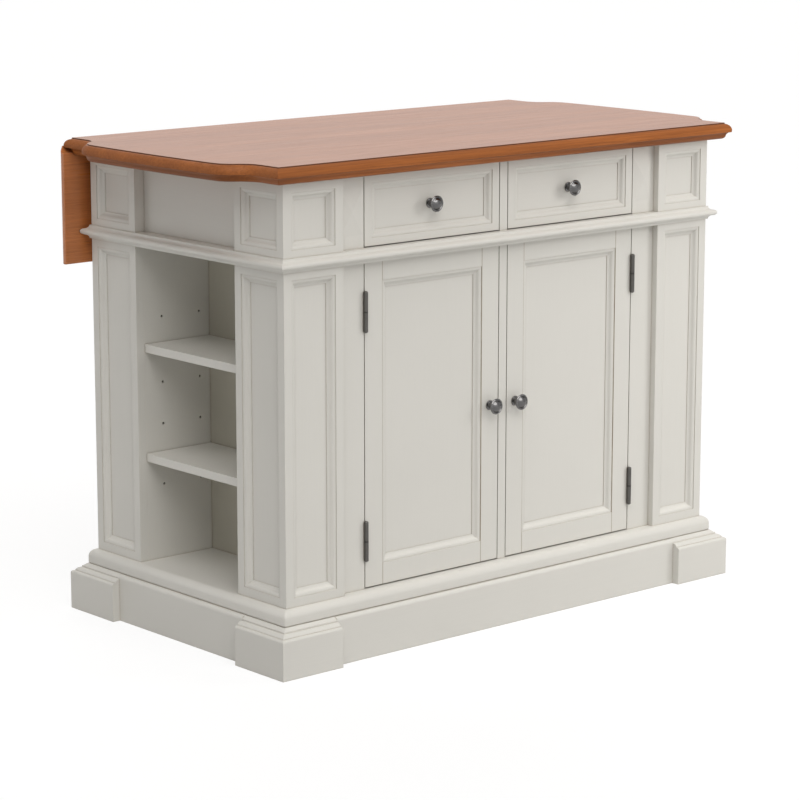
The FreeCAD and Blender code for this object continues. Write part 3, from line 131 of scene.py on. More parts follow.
class Grain(Enum):
    """Direction that fibres or brush strokes follow."""

    X = 0
    Y = 1
    Z = 2

    def stretch(self, along: float, across: float) -> Triple:
        """Texture scale for this direction.

        Args:
            along: Scale along the fibres.
            across: Scale across them.

        Returns:
            The scale per axis.
        """
        return tuple(along if axis == self.value else across for axis in range(3))


@dataclass(frozen=True)
class Texture:
    """Fractal noise, as fine as wanted along and across the grain.

    Scales are in waves per metre. The frequency multiplies both of them and the shift. A mask of the
    noise rises from 0 to its full strength over the band.
    """

    along: float = 1.0
    across: float = 1.0
    frequency: float = 1.0
    octaves: float = 3.0
    fineness: float = 0.5
    swirl: float = 0.0
    shift: Triple = ORIGIN
    band: Span = Span(0.3, 0.7)


class Kind(Enum):
    """What a shader socket carries."""

    VALUE = "value"
    VECTOR = "vector"
    COLOUR = "colour"


class Operation(Enum):
    """What a maths or mix node does."""

    MIX = "MIX"
    ADD = "ADD"
    SUBTRACT = "SUBTRACT"
    MULTIPLY = "MULTIPLY"
    ABSOLUTE = "ABSOLUTE"
    SCALE = "SCALE"
    DOT = "DOT_PRODUCT"


class Wire:
    """A shader output that can be added, subtracted and multiplied.

    Numbers go through Math nodes, colours through Mix nodes and vectors through Vector Math nodes.
    """

    def __init__(self, graph: "Graph", output: bpy.types.NodeSocket, kind: Kind) -> None:
        """Wraps one output.

        Args:
            graph: The graph that the output belongs to.
            output: The node socket.
            kind: What the socket carries.
        """
        self.graph = graph
        self.output = output
        self.kind = kind

    def _join(self, operation: Operation, first: Any, second: Any) -> "Wire":
        """Makes the node of one operation.

        Args:
            operation: ADD, SUBTRACT or MULTIPLY.
            first: Left operand.
            second: Right operand.

        Returns:
            The result, of the kind of this wire.
        """
        if self.kind is Kind.VALUE:
            return self.graph.math(operation, first, second)
        if self.kind is Kind.COLOUR:
            return self.graph.mix(1.0, first, second, operation)
        return self.graph.vector_math(operation, first, second)

    def __add__(self, other: Any) -> "Wire":
        """This plus the other."""
        return self._join(Operation.ADD, self, other)

    def __radd__(self, other: Any) -> "Wire":
        """The other plus this."""
        return self._join(Operation.ADD, other, self)

    def __sub__(self, other: Any) -> "Wire":
        """This minus the other."""
        return self._join(Operation.SUBTRACT, self, other)

    def __rsub__(self, other: Any) -> "Wire":
        """The other minus this."""
        return self._join(Operation.SUBTRACT, other, self)

    def __mul__(self, other: Any) -> "Wire":
        """This times the other."""
        return self._join(Operation.MULTIPLY, self, other)

    def __rmul__(self, other: Any) -> "Wire":
        """The other times this."""
        return self._join(Operation.MULTIPLY, other, self)


class Graph:
    """Node tree of one material or world."""

    def __init__(self, tree: bpy.types.NodeTree) -> None:
        """Starts an empty graph.

        Args:
            tree: The node tree to fill.
        """
        self.tree = tree
        tree.nodes.clear()

    def node(self, kind: str, settings: Optional[dict[str, Any]] = None,
             inputs: Optional[dict[Union[int, str], Any]] = None) -> bpy.types.Node:
        """Makes a node.

        Args:
            kind: The node's type name.
            settings: Node settings, set before its sockets.
            inputs: Socket values or wires, by name or number.

        Returns:
            The new node.
        """
        made = self.tree.nodes.new(kind)
        for name, value in (settings or {}).items():
            setattr(made, name, value)
        for key, value in (inputs or {}).items():
            self.feed(made.inputs[key], value)
        return made

    def feed(self, socket: bpy.types.NodeSocket, value: Any) -> None:
        """Sets a socket or links a wire to it.

        Args:
            socket: The input.
            value: A wire, an output socket, a number, or three or four channels.
        """
        if isinstance(value, Wire):
            self.tree.links.new(value.output, socket)
        elif isinstance(value, bpy.types.NodeSocket):
            self.tree.links.new(value, socket)
        elif isinstance(value, tuple) and len(value) == 3 and socket.type == "RGBA":
            socket.default_value = (*value, 1.0)
        else:
            socket.default_value = value

    def math(self, operation: Operation, first: Any, second: Any = 0.0, clamp: bool = False) -> Wire:
        """Number arithmetic.

        Args:
            operation: What the node does.
            first: First operand.
            second: Second operand.
            clamp: Whether the result is held between 0 and 1.

        Returns:
            The result.
        """
        made = self.node("ShaderNodeMath", {"operation": operation.value, "use_clamp": clamp},
                         {0: first, 1: second})
        return Wire(self, made.outputs[0], Kind.VALUE)

    def vector_math(self, operation: Operation, first: Any, second: Any) -> Wire:
        """Vector arithmetic.

        Args:
            operation: What the node does.
            first: First operand.
            second: Second operand, or the factor of a SCALE.

        Returns:
            The result; a number for DOT.
        """
        second_socket = SCALE_FACTOR if operation is Operation.SCALE else 1
        made = self.node("ShaderNodeVectorMath", {"operation": operation.value},
                         {0: first, second_socket: second})
        if operation is Operation.DOT:
            return Wire(self, made.outputs["Value"], Kind.VALUE)
        return Wire(self, made.outputs["Vector"], Kind.VECTOR)

    def mix(self, factor: Any, first: Any, second: Any, blend: Operation = Operation.MIX) -> Wire:
        """Colour mix.

        Args:
            factor: Share of the second colour.
            first: First colour.
            second: Second colour.
            blend: How the second colour is laid on the first.

        Returns:
            The mixed colour.
        """
        made = self.node("ShaderNodeMix", {"data_type": "RGBA", "blend_type": blend.value},
                         {"Factor": factor, MIX_FIRST: first, MIX_SECOND: second})
        return Wire(self, made.outputs[MIX_RESULT], Kind.COLOUR)

    def spread(self, value: Wire, source: Span, target: Span = WHOLE) -> Wire:
        """Maps a range of numbers onto another, held at its ends.

        Args:
            value: The input.
            source: Range of the input.
            target: Range of the result.

        Returns:
            The mapped value.
        """
        made = self.node("ShaderNodeMapRange", {"clamp": True},
                         {"Value": value, "From Min": source.start, "From Max": source.end,
                          "To Min": target.start, "To Max": target.end})
        return Wire(self, made.outputs[0], Kind.VALUE)

    def position(self) -> Wire:
        """Place on the object at rest, in metres."""
        return Wire(self, self.node("ShaderNodeTexCoord").outputs["Object"], Kind.VECTOR)

    def direction(self) -> Wire:
        """Way that the surface faces."""
        return Wire(self, self.node("ShaderNodeNewGeometry").outputs["Normal"], Kind.VECTOR)

    def noise(self, texture: Texture, grain: Grain, drift: Optional[Wire] = None) -> Wire:
        """Fractal noise over the object.

        Args:
            texture: Its scales.
            grain: Direction of the fibres.
            drift: Vector that bends it.

        Returns:
            Noise between 0 and 1.
        """
        where = self.position() * grain.stretch(texture.along, texture.across) + texture.shift
        if drift is not None:
            where = where + drift
        made = self.node("ShaderNodeTexNoise", {"noise_dimensions": "3D"},
                         {"Vector": where, "Scale": texture.frequency, "Detail": texture.octaves,
                          "Roughness": texture.fineness, "Distortion": texture.swirl})
        return Wire(self, made.outputs[0], Kind.VALUE)

    def eased(self, radius: float) -> Wire:
        """Surface direction with the sharp edges rounded.

        Args:
            radius: Rounding in metres.

        Returns:
            The rounded normal.
        """
        made = self.node("ShaderNodeBevel", {"samples": SHADER_RAYS}, {"Radius": radius})
        return Wire(self, made.outputs[0], Kind.VECTOR)

    def edges(self, radius: float) -> Wire:
        """Mask of the edges and corners.

        Args:
            radius: Width of the mask in metres.

        Returns:
            1 on an edge, 0 on a flat.
        """
        turned = self.vector_math(Operation.DOT, self.eased(radius), self.direction())
        return self.spread(turned, EDGE_TURN)

    def openness(self, reach: float) -> Wire:
        """How freely a point looks out past its neighbours.

        Args:
            reach: Distance in metres at which a neighbour still shades.

        Returns:
            0 deep in a hole, 1 in the open.
        """
        made = self.node("ShaderNodeAmbientOcclusion", {"samples": SHADER_RAYS, "only_local": False},
                         {"Distance": reach})
        return Wire(self, made.outputs["AO"], Kind.VALUE)

    def crevices(self, reach: float) -> Wire:
        """Mask of the inner corners and grooves, 1 deep in a groove and 0 in the open."""
        return self.spread(self.openness(reach), CREVICE)

    def facing_up(self) -> Wire:
        """How far the surface faces the ceiling: 1 on a level top, 0 on an upright face."""
        return self.vector_math(Operation.DOT, self.direction(), UP)

    def along(self, axis: Triple) -> Wire:
        """Place at rest along an axis of length 1, in metres."""
        return self.vector_math(Operation.DOT, self.position(), axis)

    def stripe(self, axis: Triple, place: float, width: float, core: float, strength: float = 1.0) -> Wire:
        """Mask of a soft line across an axis.

        Args:
            axis: The axis, of length 1.
            place: Where the line crosses it, in metres.
            width: Half width of the line, in metres.
            core: Share of the width that has the full strength.
            strength: Value in the core.

        Returns:
            The strength in the line, 0 beside it.
        """
        offset = self.math(Operation.ABSOLUTE, self.along(axis) - place)
        return self.spread(offset, Span(width, width * core), Span(0.0, strength))

    def rays(self, *names: str) -> list[Wire]:
        """Masks of the rays that look at a surface.

        Args:
            names: Outputs of the Light Path node.

        Returns:
            A mask for each name.
        """
        made = self.node("ShaderNodeLightPath")
        return [Wire(self, made.outputs[name], Kind.VALUE) for name in names]

    def bump(self, height: Wire, distance: float, strength: float, normal: Wire) -> Wire:
        """Raises the surface by a height map.

        Args:
            height: The map.
            distance: Height of 1 in metres.
            strength: Effect, 0 to 1.
            normal: Direction of the unraised surface.

        Returns:
            The new direction.
        """
        made = self.node("ShaderNodeBump", None,
                         {"Height": height, "Distance": distance, "Strength": strength, "Normal": normal})
        return Wire(self, made.outputs[0], Kind.VECTOR)

    def surface(self, inputs: dict[str, Any]) -> None:
        """Ends a material with a Principled shader.

        Args:
            inputs: Its sockets.
        """
        shader = self.node("ShaderNodeBsdfPrincipled", None, inputs)
        self.node("ShaderNodeOutputMaterial", None, {"Surface": shader.outputs[0]})


def blank(name: str) -> tuple[bpy.types.Material, Graph]:
    """Starts a material.

    Args:
        name: Its name.

    Returns:
        The material and its empty graph.
    """
    made = bpy.data.materials.new(name)
    made.use_nodes = True
    return made, Graph(made.node_tree)


# ---------------------------------------------------------------- finishes
#
# In all finishes, sizes are in metres. Refraction is an index, textures say their own units, and the other
# numbers are shares.


@dataclass(frozen=True)
class Paint:
    """Satin brushed paint: painted shade in the grooves, at fine steps and deep in holes and gaps, dark
    joint lines at the seams, and rubbed edges.
    """

    name: str
    colour: Colour
    grain: Grain
    # Colour of the painted shade in grooves and at fine steps, also used for the dark joint lines at the
    # seams.
    shade_and_seam_colour: Colour = srgb(150, 134, 112)
    # Colour of the painted shade deep in holes and gaps.
    hole: Colour = srgb(58, 50, 42)
    rub: Colour = srgb(226, 221, 210)
    strokes: Texture = Texture(along=9.0, across=620.0, octaves=4.0, fineness=0.6, band=Span(0.35, 0.75))
    clouds: Texture = Texture(frequency=3.2, fineness=0.55, shift=(3.1, 1.7, 0.4))
    specks: Texture = Texture(frequency=900.0, octaves=2.0)
    patches: Texture = Texture(frequency=28.0, octaves=4.0, fineness=0.7, band=Span(0.42, 0.62))
    clouding: float = 0.28
    cloud_shade: float = 0.90
    streaking: float = 0.09
    streak_shade: float = 0.80
    groove_reach: float = 0.010
    # Strength of the painted shade in the grooves.
    groove_shading: float = 0.13
    line_reach: float = 0.003
    line_band: Span = Span(0.90, 0.55)
    # Strength of the painted shade line at fine steps and narrow gaps.
    lining: float = 0.30
    hole_shading_band: Span = Span(0.30, 0.06)
    hole_shading: float = 0.85
    seams: tuple[float, ...] = ()
    seam_width: float = 0.0010
    seam_core: float = 0.4
    seam_depth: float = 0.80
    edge_width: float = 0.0016
    rubbing: float = 0.45
    roughness: float = 0.36
    sheen_band: Span = Span(0.25, 0.75)
    sheen: Span = Span(-0.05, 0.08)
    groove_dulling: float = 0.2
    stroke_relief: float = 0.8
    speck_relief: float = 0.2
    relief: float = 0.00006
    relief_strength: float = 0.55
    easing: float = 0.0011
    refraction: float = 1.48

    def material(self) -> bpy.types.Material:
        """Builds the material.

        Returns:
            The new material.
        """
        made, graph = blank(self.name)
        stroke = graph.noise(self.strokes, self.grain)
        cloud = graph.noise(self.clouds, self.grain)
        speck = graph.noise(self.specks, self.grain)
        openness = graph.openness(self.groove_reach)
        groove = graph.spread(openness, CREVICE)
        clouded = graph.spread(cloud, self.clouds.band, Span(0.0, self.clouding))
        tone = graph.mix(clouded, self.colour, shaded(self.colour, self.cloud_shade))
        streaked = graph.spread(stroke, self.strokes.band, Span(0.0, self.streaking))
        tone = graph.mix(streaked, tone, shaded(self.colour, self.streak_shade))
        # Painted shade: grooves and inner corners, found by ambient occlusion, are darkened.
        tone = graph.mix(groove * self.groove_shading, tone, self.shade_and_seam_colour)
        # Painted shade: a dark line at fine steps and narrow gaps, found by short-reach occlusion.
        line = graph.spread(graph.openness(self.line_reach), self.line_band)
        tone = graph.mix(line * self.lining, tone, self.shade_and_seam_colour)
        # Painted shade: pin holes and the gaps between parts, deep in occlusion, go dark brown.
        deep = graph.spread(openness, self.hole_shading_band, Span(0.0, self.hole_shading))
        tone = graph.mix(deep, tone, self.hole)
        for seam in self.seams:
            line = graph.stripe(ALONG_X, seam, self.seam_width, self.seam_core, self.seam_depth)
            tone = graph.mix(line, tone, self.shade_and_seam_colour)
        patch = graph.spread(graph.noise(self.patches, self.grain), self.patches.band)
        tone = graph.mix(graph.edges(self.edge_width) * patch * self.rubbing, tone, self.rub)
        rough = graph.spread(cloud, self.sheen_band, self.sheen.shifted(self.roughness))
        height = stroke * self.stroke_relief + speck * self.speck_relief
        normal = graph.bump(height, self.relief, self.relief_strength, graph.eased(self.easing))
        graph.surface({"Base Color": tone, "Roughness": rough + groove * self.groove_dulling,
                       "Normal": normal, "IOR": self.refraction})
        return made


@dataclass(frozen=True)
class Moulded:
    """Moulded edge of a level top: a darker, redder copy of the top's wood colours as painted shade on the
    faces that don't face up, duller lacquer and a painted shade line in the quirk.
    """

    top: float
    light: Colour
    dark: Colour
    # Colour of the painted shade line in the quirk.
    quirk_shade: Colour = srgb(78, 42, 22)
    quirk: float = 0.0022
    softness: float = 0.0002
    line: float = 0.80
    dulling: float = 0.34
    sloping: Span = Span(0.99, 0.90)
    upright: Span = Span(0.7, 0.5)

    def side(self, graph: Graph) -> Wire:
        """Mask of what doesn't face straight up."""
        return graph.spread(graph.facing_up(), self.sloping)

    def quirk_shading(self, graph: Graph) -> Wire:
        """Mask of the painted shade line on the small upright step right under the level face.

        Args:
            graph: The graph of the material.

        Returns:
            The line's strength in the quirk, 0 elsewhere.
        """
        foot = self.top - self.quirk
        upright = graph.spread(graph.facing_up(), self.upright)
        return upright * graph.spread(graph.along(UP), Span(foot, foot + self.softness)) * self.line


@dataclass(frozen=True)
class StainedWood:
    """Stained hardwood under a satin lacquer: figure, dark pores, painted shade in the grooves and at fine
    steps, and paler rubbed edges.
    """

    name: str
    light: Colour
    dark: Colour
    grain: Grain
    # Colour of the dark pores, and of the painted shade in grooves and at fine steps.
    groove: Colour = srgb(52, 27, 12)
    rub: Colour = srgb(196, 132, 82)
    bends: Texture = Texture(along=0.9, across=5.0, octaves=2.0, shift=(1.3, 0.6, 2.2))
    figures: Texture = Texture(along=1.1, across=17.0, octaves=5.0, fineness=0.55, swirl=0.6,
                               band=Span(0.32, 0.68))
    fibres: Texture = Texture(along=6.0, across=330.0, octaves=4.0, fineness=0.6, band=Span(0.38, 0.72))
    holes: Texture = Texture(along=26.0, across=1500.0, octaves=2.0, band=Span(0.62, 0.74))
    patches: Texture = Texture(frequency=22.0, octaves=4.0, fineness=0.7, band=Span(0.40, 0.62))
    bending: float = 0.6
    figure_bend: Triple = (1.0, 4.0, 4.0)
    fibre_bend: Triple = (1.0, 8.0, 8.0)
    figure: float = 0.55
    streaks: float = 0.66
    pores: float = 0.48
    groove_reach: float = 0.007
    # Strength of the painted shade in the grooves.
    depth: float = 0.75
    line_reach: float = 0.003
    line_band: Span = Span(0.90, 0.50)
    # Strength of the painted shade line at fine steps.
    lining: float = 0.55
    edge_width: float = 0.0020
    wear: float = 0.12
    roughness: float = 0.30
    sheen_band: Span = Span(0.3, 0.7)
    sheen: Span = Span(-0.04, 0.07)
    pore_dulling: float = 0.10
    coat: float = 0.42
    coat_roughness: float = 0.22
    gloss: float = 0.40
    fibre_relief: float = 0.6
    pore_relief: float = 0.5
    relief: float = 0.00008
    relief_strength: float = 0.5
    easing: float = 0.0013
    refraction: float = 1.5
    moulded: Optional[Moulded] = None

    def material(self) -> bpy.types.Material:
        """Builds the material.

        Returns:
            The new material.
        """
        made, graph = blank(self.name)
        bend = graph.noise(self.bends, self.grain)
        drift = graph.vector_math(Operation.SCALE, (self.bending,) * 3, bend)
        figure = graph.noise(self.figures, self.grain, drift * self.figure_bend)
        fibre = graph.noise(self.fibres, self.grain, drift * self.fibre_bend)
        pores = graph.spread(graph.noise(self.holes, self.grain), self.holes.band)
        rough = graph.spread(fibre, self.sheen_band, self.sheen.shifted(self.roughness))
        rough = rough + pores * self.pore_dulling
        light, dark, coat = self.light, self.dark, self.coat
        if self.moulded:
            # Painted shade: faces that don't face up take the darker copy of the same wood's colours.
            side = self.moulded.side(graph)
            light = graph.mix(side, self.light, self.moulded.light)
            dark = graph.mix(side, self.dark, self.moulded.dark)
            coat = graph.spread(side, WHOLE, Span(self.coat, 0.0))
            rough = rough + side * self.moulded.dulling
        figured = graph.spread(figure, self.figures.band, Span(0.0, self.figure))
        tone = graph.mix(figured, light, dark)
        streaked = graph.spread(fibre, self.fibres.band, Span(0.0, self.streaks))
        tone = graph.mix(streaked, tone, dark)
        tone = graph.mix(pores * self.pores, tone, self.groove)
        # Painted shade: grooves and inner corners, found by ambient occlusion, are darkened.
        tone = graph.mix(graph.crevices(self.groove_reach) * self.depth, tone, self.groove)
        # Painted shade: a dark line at fine steps and narrow gaps.
        line = graph.spread(graph.openness(self.line_reach), self.line_band)
        tone = graph.mix(line * self.lining, tone, self.groove)
        patch = graph.spread(graph.noise(self.patches, self.grain), self.patches.band)
        tone = graph.mix(graph.edges(self.edge_width) * patch * self.wear, tone, self.rub)
        if self.moulded:
            # Painted shade: a dark line on the quirk's upright step, where it lies in shadow.
            tone = graph.mix(self.moulded.quirk_shading(graph), tone, self.moulded.quirk_shade)
        height = fibre * self.fibre_relief - pores * self.pore_relief
        normal = graph.bump(height, self.relief, self.relief_strength, graph.eased(self.easing))
        graph.surface({"Base Color": tone, "Roughness": rough, "Normal": normal, "IOR": self.refraction,
                       "Specular IOR Level": self.gloss, "Coat Weight": coat,
                       "Coat Roughness": self.coat_roughness})
        return made


@dataclass(frozen=True)
class ClearWood:
    """Pale drawer wood under a thin clear coat, with painted shade in its grooves and inner corners."""

    name: str
    light: Colour
    dark: Colour
    grain: Grain
    # Colour of the painted shade in the drawer boxes' grooves and inner corners.
    groove: Colour = srgb(120, 88, 56)
    figures: Texture = Texture(along=1.6, across=26.0, octaves=4.0, fineness=0.55, swirl=0.5,
                               band=Span(0.34, 0.66))
    fibres: Texture = Texture(along=7.0, across=420.0, fineness=0.6, band=Span(0.4, 0.7))
    streaks: float = 0.35
    groove_reach: float = 0.012
    # Strength of the painted shade in the grooves.
    depth: float = 0.4
    sheen_band: Span = Span(0.3, 0.7)
    sheen: Span = Span(0.42, 0.55)
    relief: float = 0.00008
    relief_strength: float = 0.5
    easing: float = 0.0009

    def material(self) -> bpy.types.Material:
        """Builds the material.

        Returns:
            The new material.
        """
        made, graph = blank(self.name)
        figure = graph.noise(self.figures, self.grain)
        fibre = graph.noise(self.fibres, self.grain)
        tone = graph.mix(graph.spread(figure, self.figures.band), self.light, self.dark)
        streaked = graph.spread(fibre, self.fibres.band, Span(0.0, self.streaks))
        tone = graph.mix(streaked, tone, self.dark)
        # Painted shade: inner corners, found by ambient occlusion, are darkened.
        tone = graph.mix(graph.crevices(self.groove_reach) * self.depth, tone, self.groove)
        rough = graph.spread(fibre, self.sheen_band, self.sheen)
        normal = graph.bump(fibre, self.relief, self.relief_strength, graph.eased(self.easing))
        graph.surface({"Base Color": tone, "Roughness": rough, "Normal": normal})
        return made


@dataclass(frozen=True)
class Metal:
    """Metal with brushing, smudges, painted shade in its grooves, brighter rubbed edges and dark lines at
    the given heights.
    """

    name: str
    colour: Colour
    rub: Colour
    roughness: float
    brushed: float = 0.3
    grain: Grain = Grain.Z
    smudging: float = 0.5
    seams: tuple[float, ...] = ()
    seam_width: float = 0.0012
    seam_core: float = 0.6
    seam_shade: float = 0.12
    strokes: Texture = Texture(along=60.0, across=2600.0, fineness=0.6)
    smudges: Texture = Texture(frequency=70.0, octaves=4.0, fineness=0.6, shift=(0.7, 0.2, 0.9),
                               band=Span(0.35, 0.7))
    smudge_shade: float = 0.72
    groove_reach: float = 0.004
    groove_shade: float = 0.35
    # Strength of the painted shade in the grooves.
    depth: float = 0.6
    edge_width: float = 0.0008
    rubbing: float = 0.55
    sheen_band: Span = Span(0.3, 0.75)
    sheen: Span = Span(0.0, 0.14)
    relief: float = 0.00003
    easing: float = 0.0005

    def material(self) -> bpy.types.Material:
        """Builds the material.

        Returns:
            The new material.
        """
        made, graph = blank(self.name)
        smudge = graph.noise(self.smudges, self.grain)
        smudged = graph.spread(smudge, self.smudges.band, Span(0.0, self.smudging))
        tone = graph.mix(smudged, self.colour, shaded(self.colour, self.smudge_shade))
        # Painted shade: grooves and inner corners, found by ambient occlusion, take a darker copy of the
        # metal's colour.
        tone = graph.mix(graph.crevices(self.groove_reach) * self.depth, tone,
                         shaded(self.colour, self.groove_shade))
        tone = graph.mix(graph.edges(self.edge_width) * self.rubbing, tone, self.rub)
        for seam in self.seams:
            line = graph.stripe(UP, seam, self.seam_width, self.seam_core)
            tone = graph.mix(line, tone, shaded(self.colour, self.seam_shade))
        rough = graph.spread(smudge, self.sheen_band, self.sheen.shifted(self.roughness))
        brush = graph.noise(self.strokes, self.grain)
        normal = graph.bump(brush, self.relief, self.brushed, graph.eased(self.easing))
        graph.surface({"Base Color": tone, "Roughness": rough, "Metallic": 1.0, "Normal": normal})
        return made


def barrel_middles(node: str) -> tuple[float, float]:
    """Heights at which the two hinges of a door are divided.

    Args:
        node: Node with a leaf of each hinge.

    Returns:
        Middle height of the lower and of the upper hinge, in metres.
    """
    heights = sorted(vertex.co.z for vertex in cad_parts[node].data.vertices)
    split = max(range(1, len(heights)), key=lambda at: heights[at] - heights[at - 1])
    return (heights[0] + heights[split - 1]) / 2, (heights[split] + heights[-1]) / 2


class Palette:
    """All finishes of the island, made once."""

    def __init__(self) -> None:
        """Builds every material."""
        self.white = srgb(216, 214, 208)
        self.paint = {grain: Paint(f"antique_paint_{grain.name.lower()}", self.white, grain).material()
                      for grain in Grain}
        # The plinth takes little painted shade in its grooves and none in holes or gaps.
        self.plinth = Paint("plinth_paint", self.white, Grain.X, groove_shading=0.05, hole_shading=0.0).material()
        # Painted shade: the end walls at the back of the open bays take a darker, warmer copy of the white
        # paint.
        self.bay = Paint("bay_paint_shaded", srgb(194, 190, 177), Grain.Z).material()
        # The top and its moulded sides are one wood: the top takes the paler copy of its colours as
        # painted light, the sides the darker one as painted shade.
        edge = Moulded(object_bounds()[1][2], srgb(169, 98, 43), srgb(114, 61, 21))
        self.worktop = StainedWood("worktop_wood", srgb(188, 119, 72), srgb(148, 88, 49), Grain.X,
                                   moulded=edge).material()
        # The edge strips take the darker copy of the wood's colours, painted shade.
        self.edge_x, self.edge_y = (
            StainedWood(f"worktop_edge_wood_{grain.name.lower()}", edge.light, edge.dark, grain,
                        roughness=0.46, coat=0.0, gloss=0.28, figure=0.75, streaks=0.75,
                        pores=0.35).material()
            for grain in (Grain.X, Grain.Y))
        # Painted light: the leaf is the same wood as the top, given a lighter colour and less painted
        # groove shade to stand in for light on its shaded inner face.
        self.leaf = StainedWood("leaf_wood", srgb(204, 127, 73), srgb(158, 93, 50), Grain.X,
                                depth=0.30).material()
        self.drawer = ClearWood("drawer_wood", srgb(222, 196, 156), srgb(192, 158, 112),
                                Grain.Y).material()
        self.hinge = Metal("dark_hinge_steel", srgb(104, 102, 99), srgb(150, 148, 144), 0.34,
                           seams=barrel_middles("door_left_hinge_leaves")).material()
        self.knob = Metal("gunmetal_knob", srgb(112, 111, 111), srgb(186, 184, 182), 0.06,
                          brushed=0.03).material()
        self.zinc = Metal("zinc_steel", srgb(188, 190, 190), srgb(222, 222, 220), 0.34,
                          brushed=0.4, grain=Grain.X, smudging=0.18).material()
        self.screw = Metal("screw_steel", srgb(168, 166, 160), srgb(214, 212, 206), 0.28,
                           brushed=0.2).material()


# ---------------------------------------------------------------- pieces
#
# Sizes are in metres and angles in degrees.


def dress(nodes: Iterable[str], material: bpy.types.Material) -> None:
    """Gives CAD nodes a material and reports each one.

    Args:
        nodes: Node names.
        material: The finish.
    """
    for name in nodes:
        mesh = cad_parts[name].data
        mesh.materials.clear()
        mesh.materials.append(material)
        log.info("%s: %s", name, material.name)


def placed(name: str, data: bpy.types.ID) -> bpy.types.Object:
    """Makes an object in the scene.

    Args:
        name: Its name.
        data: Its mesh, light or camera.

    Returns:
        The new object.
    """
    made = bpy.data.objects.new(name, data)
    bpy.context.scene.collection.objects.link(made)
    return made


def bridge(shape: bmesh.types.BMesh, outer: Row, inner: Row) -> None:
    """Joins two closed rows of points with four-sided faces.

    Args:
        shape: The mesh in the making.
        outer: One row.
        inner: The row beside it.
    """
    for spot in range(len(outer)):
        after = (spot + 1) % len(outer)
        shape.faces.new((outer[spot], outer[after], inner[after], inner[spot]))


def finished(name: str, shape: bmesh.types.BMesh, material: bpy.types.Material) -> bpy.types.Mesh:
    """Ends a mesh in the making.

    Args:
        name: Its name.
        shape: The mesh in the making, which is freed.
        material: Its finish.

    Returns:
        The mesh.
    """
    mesh = bpy.data.meshes.new(name)
    shape.to_mesh(mesh)
    shape.free()
    mesh.materials.append(material)
    return mesh


@dataclass
class Cabinetry:
    """Painted carcass: plinth, posts, mouldings, face frame, walls and shelves."""

    palette: Palette
    upright: tuple[str, ...] = (
        "post_front_left", "post_front_right", "post_rear_left", "post_rear_right", "bay_cheeks",
        "frame_stile_left", "frame_stile_right", "mullion", "back_panel")
    long: tuple[str, ...] = (
        "waist_moulding", "bottom_panel", "mid_rail", "rear_mid_rail", "drawer_deck", "leaf_apron",
        "inner_shelf")
    deep: tuple[str, ...] = ("drawer_divider", "bay_tops", "upper_end_panels", "end_shelves")
    foot: tuple[str, ...] = ("plinth_rails", "corner_blocks")
    # End walls at the back of the open bays, which take the darker copy of the paint as painted shade.
    bay: tuple[str, ...] = ("end_wall_left", "end_wall_right")

    def build(self) -> None:
        """Paints the carcass."""
        dress(self.upright, self.palette.paint[Grain.Z])
        dress(self.long, self.palette.paint[Grain.X])
        dress(self.deep, self.palette.paint[Grain.Y])
        dress(self.foot, self.palette.plinth)
        dress(self.bay, self.palette.bay)
        dress(("shelf_pins",), self.palette.zinc)


@dataclass
class BaseMoulding:
    """Board ring under the posts: round above, nearly upright below, with a small round at its foot."""

    palette: Palette
    width: float = 0.060
    shoulder: float = 0.0144
    foot: float = 0.0035
    corner: float = 0.004
    steps: int = 12
    corner_steps: int = 3
    smooth_below: float = 40.0

    def profile(self, low: float, high: float) -> list[Point]:
        """Section of the board.

        Args:
            low: Height of the underside.
            high: Height of the upper face.

        Returns:
            Points as (distance inside the outermost line, height).
        """
        turns = [math.pi / 2 * step / self.steps for step in range(self.steps + 1)]
        points = [(self.width, low), (self.width, high)]
        for turn in turns:
            points.append((self.shoulder * (1 - math.sin(turn)),
                           high - self.shoulder * (1 - math.cos(turn))))
        for turn in turns:
            points.append((self.foot * (1 - math.cos(turn)), low + self.foot * (1 - math.sin(turn))))
        return points

    def outline(self, half_x: float, half_y: float) -> list[Point]:
        """Plan of one line of the moulding, with eased corners.

        Args:
            half_x: Half length.
            half_y: Half width.

        Returns:
            Points around the island.
        """
        points = []
        for quarter, (side_x, side_y) in enumerate(((1, 1), (-1, 1), (-1, -1), (1, -1))):
            for step in range(self.corner_steps + 1):
                turn = math.pi / 2 * (quarter + step / self.corner_steps)
                points.append((side_x * (half_x - self.corner) + self.corner * math.cos(turn),
                               side_y * (half_y - self.corner) + self.corner * math.sin(turn)))
        return points

    def build(self) -> None:
        """Makes the ring in place of the plain one."""
        low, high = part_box("base_moulding")
        shape = bmesh.new()
        rows = [[shape.verts.new((x, y, z)) for x, y in self.outline(high.x - inside, high.y - inside)]
                for inside, z in self.profile(low.z, high.z)]
        for outer, inner in zip(rows, rows[1:] + rows[:1]):
            bridge(shape, outer, inner)
        bmesh.ops.recalc_face_normals(shape, faces=shape.faces)
        mesh = finished("base_moulding_round", shape, self.palette.plinth)
        for face in mesh.polygons:
            face.use_smooth = True
        mesh.set_sharp_from_angle(angle=math.radians(self.smooth_below))
        made = placed("base_moulding_round", mesh)
        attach(made, "cabinet")
        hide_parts("base_moulding")
        log.info("base_moulding_round: %s", self.palette.plinth.name)


@dataclass
class Worktop:
    """Stained worktop with its build-up strips."""

    palette: Palette

    def build(self) -> None:
        """Stains the worktop."""
        dress(("top_board",), self.palette.worktop)
        dress(("top_edge_front", "top_batten_rear"), self.palette.edge_x)
        dress(("top_edge_left", "top_edge_right"), self.palette.edge_y)


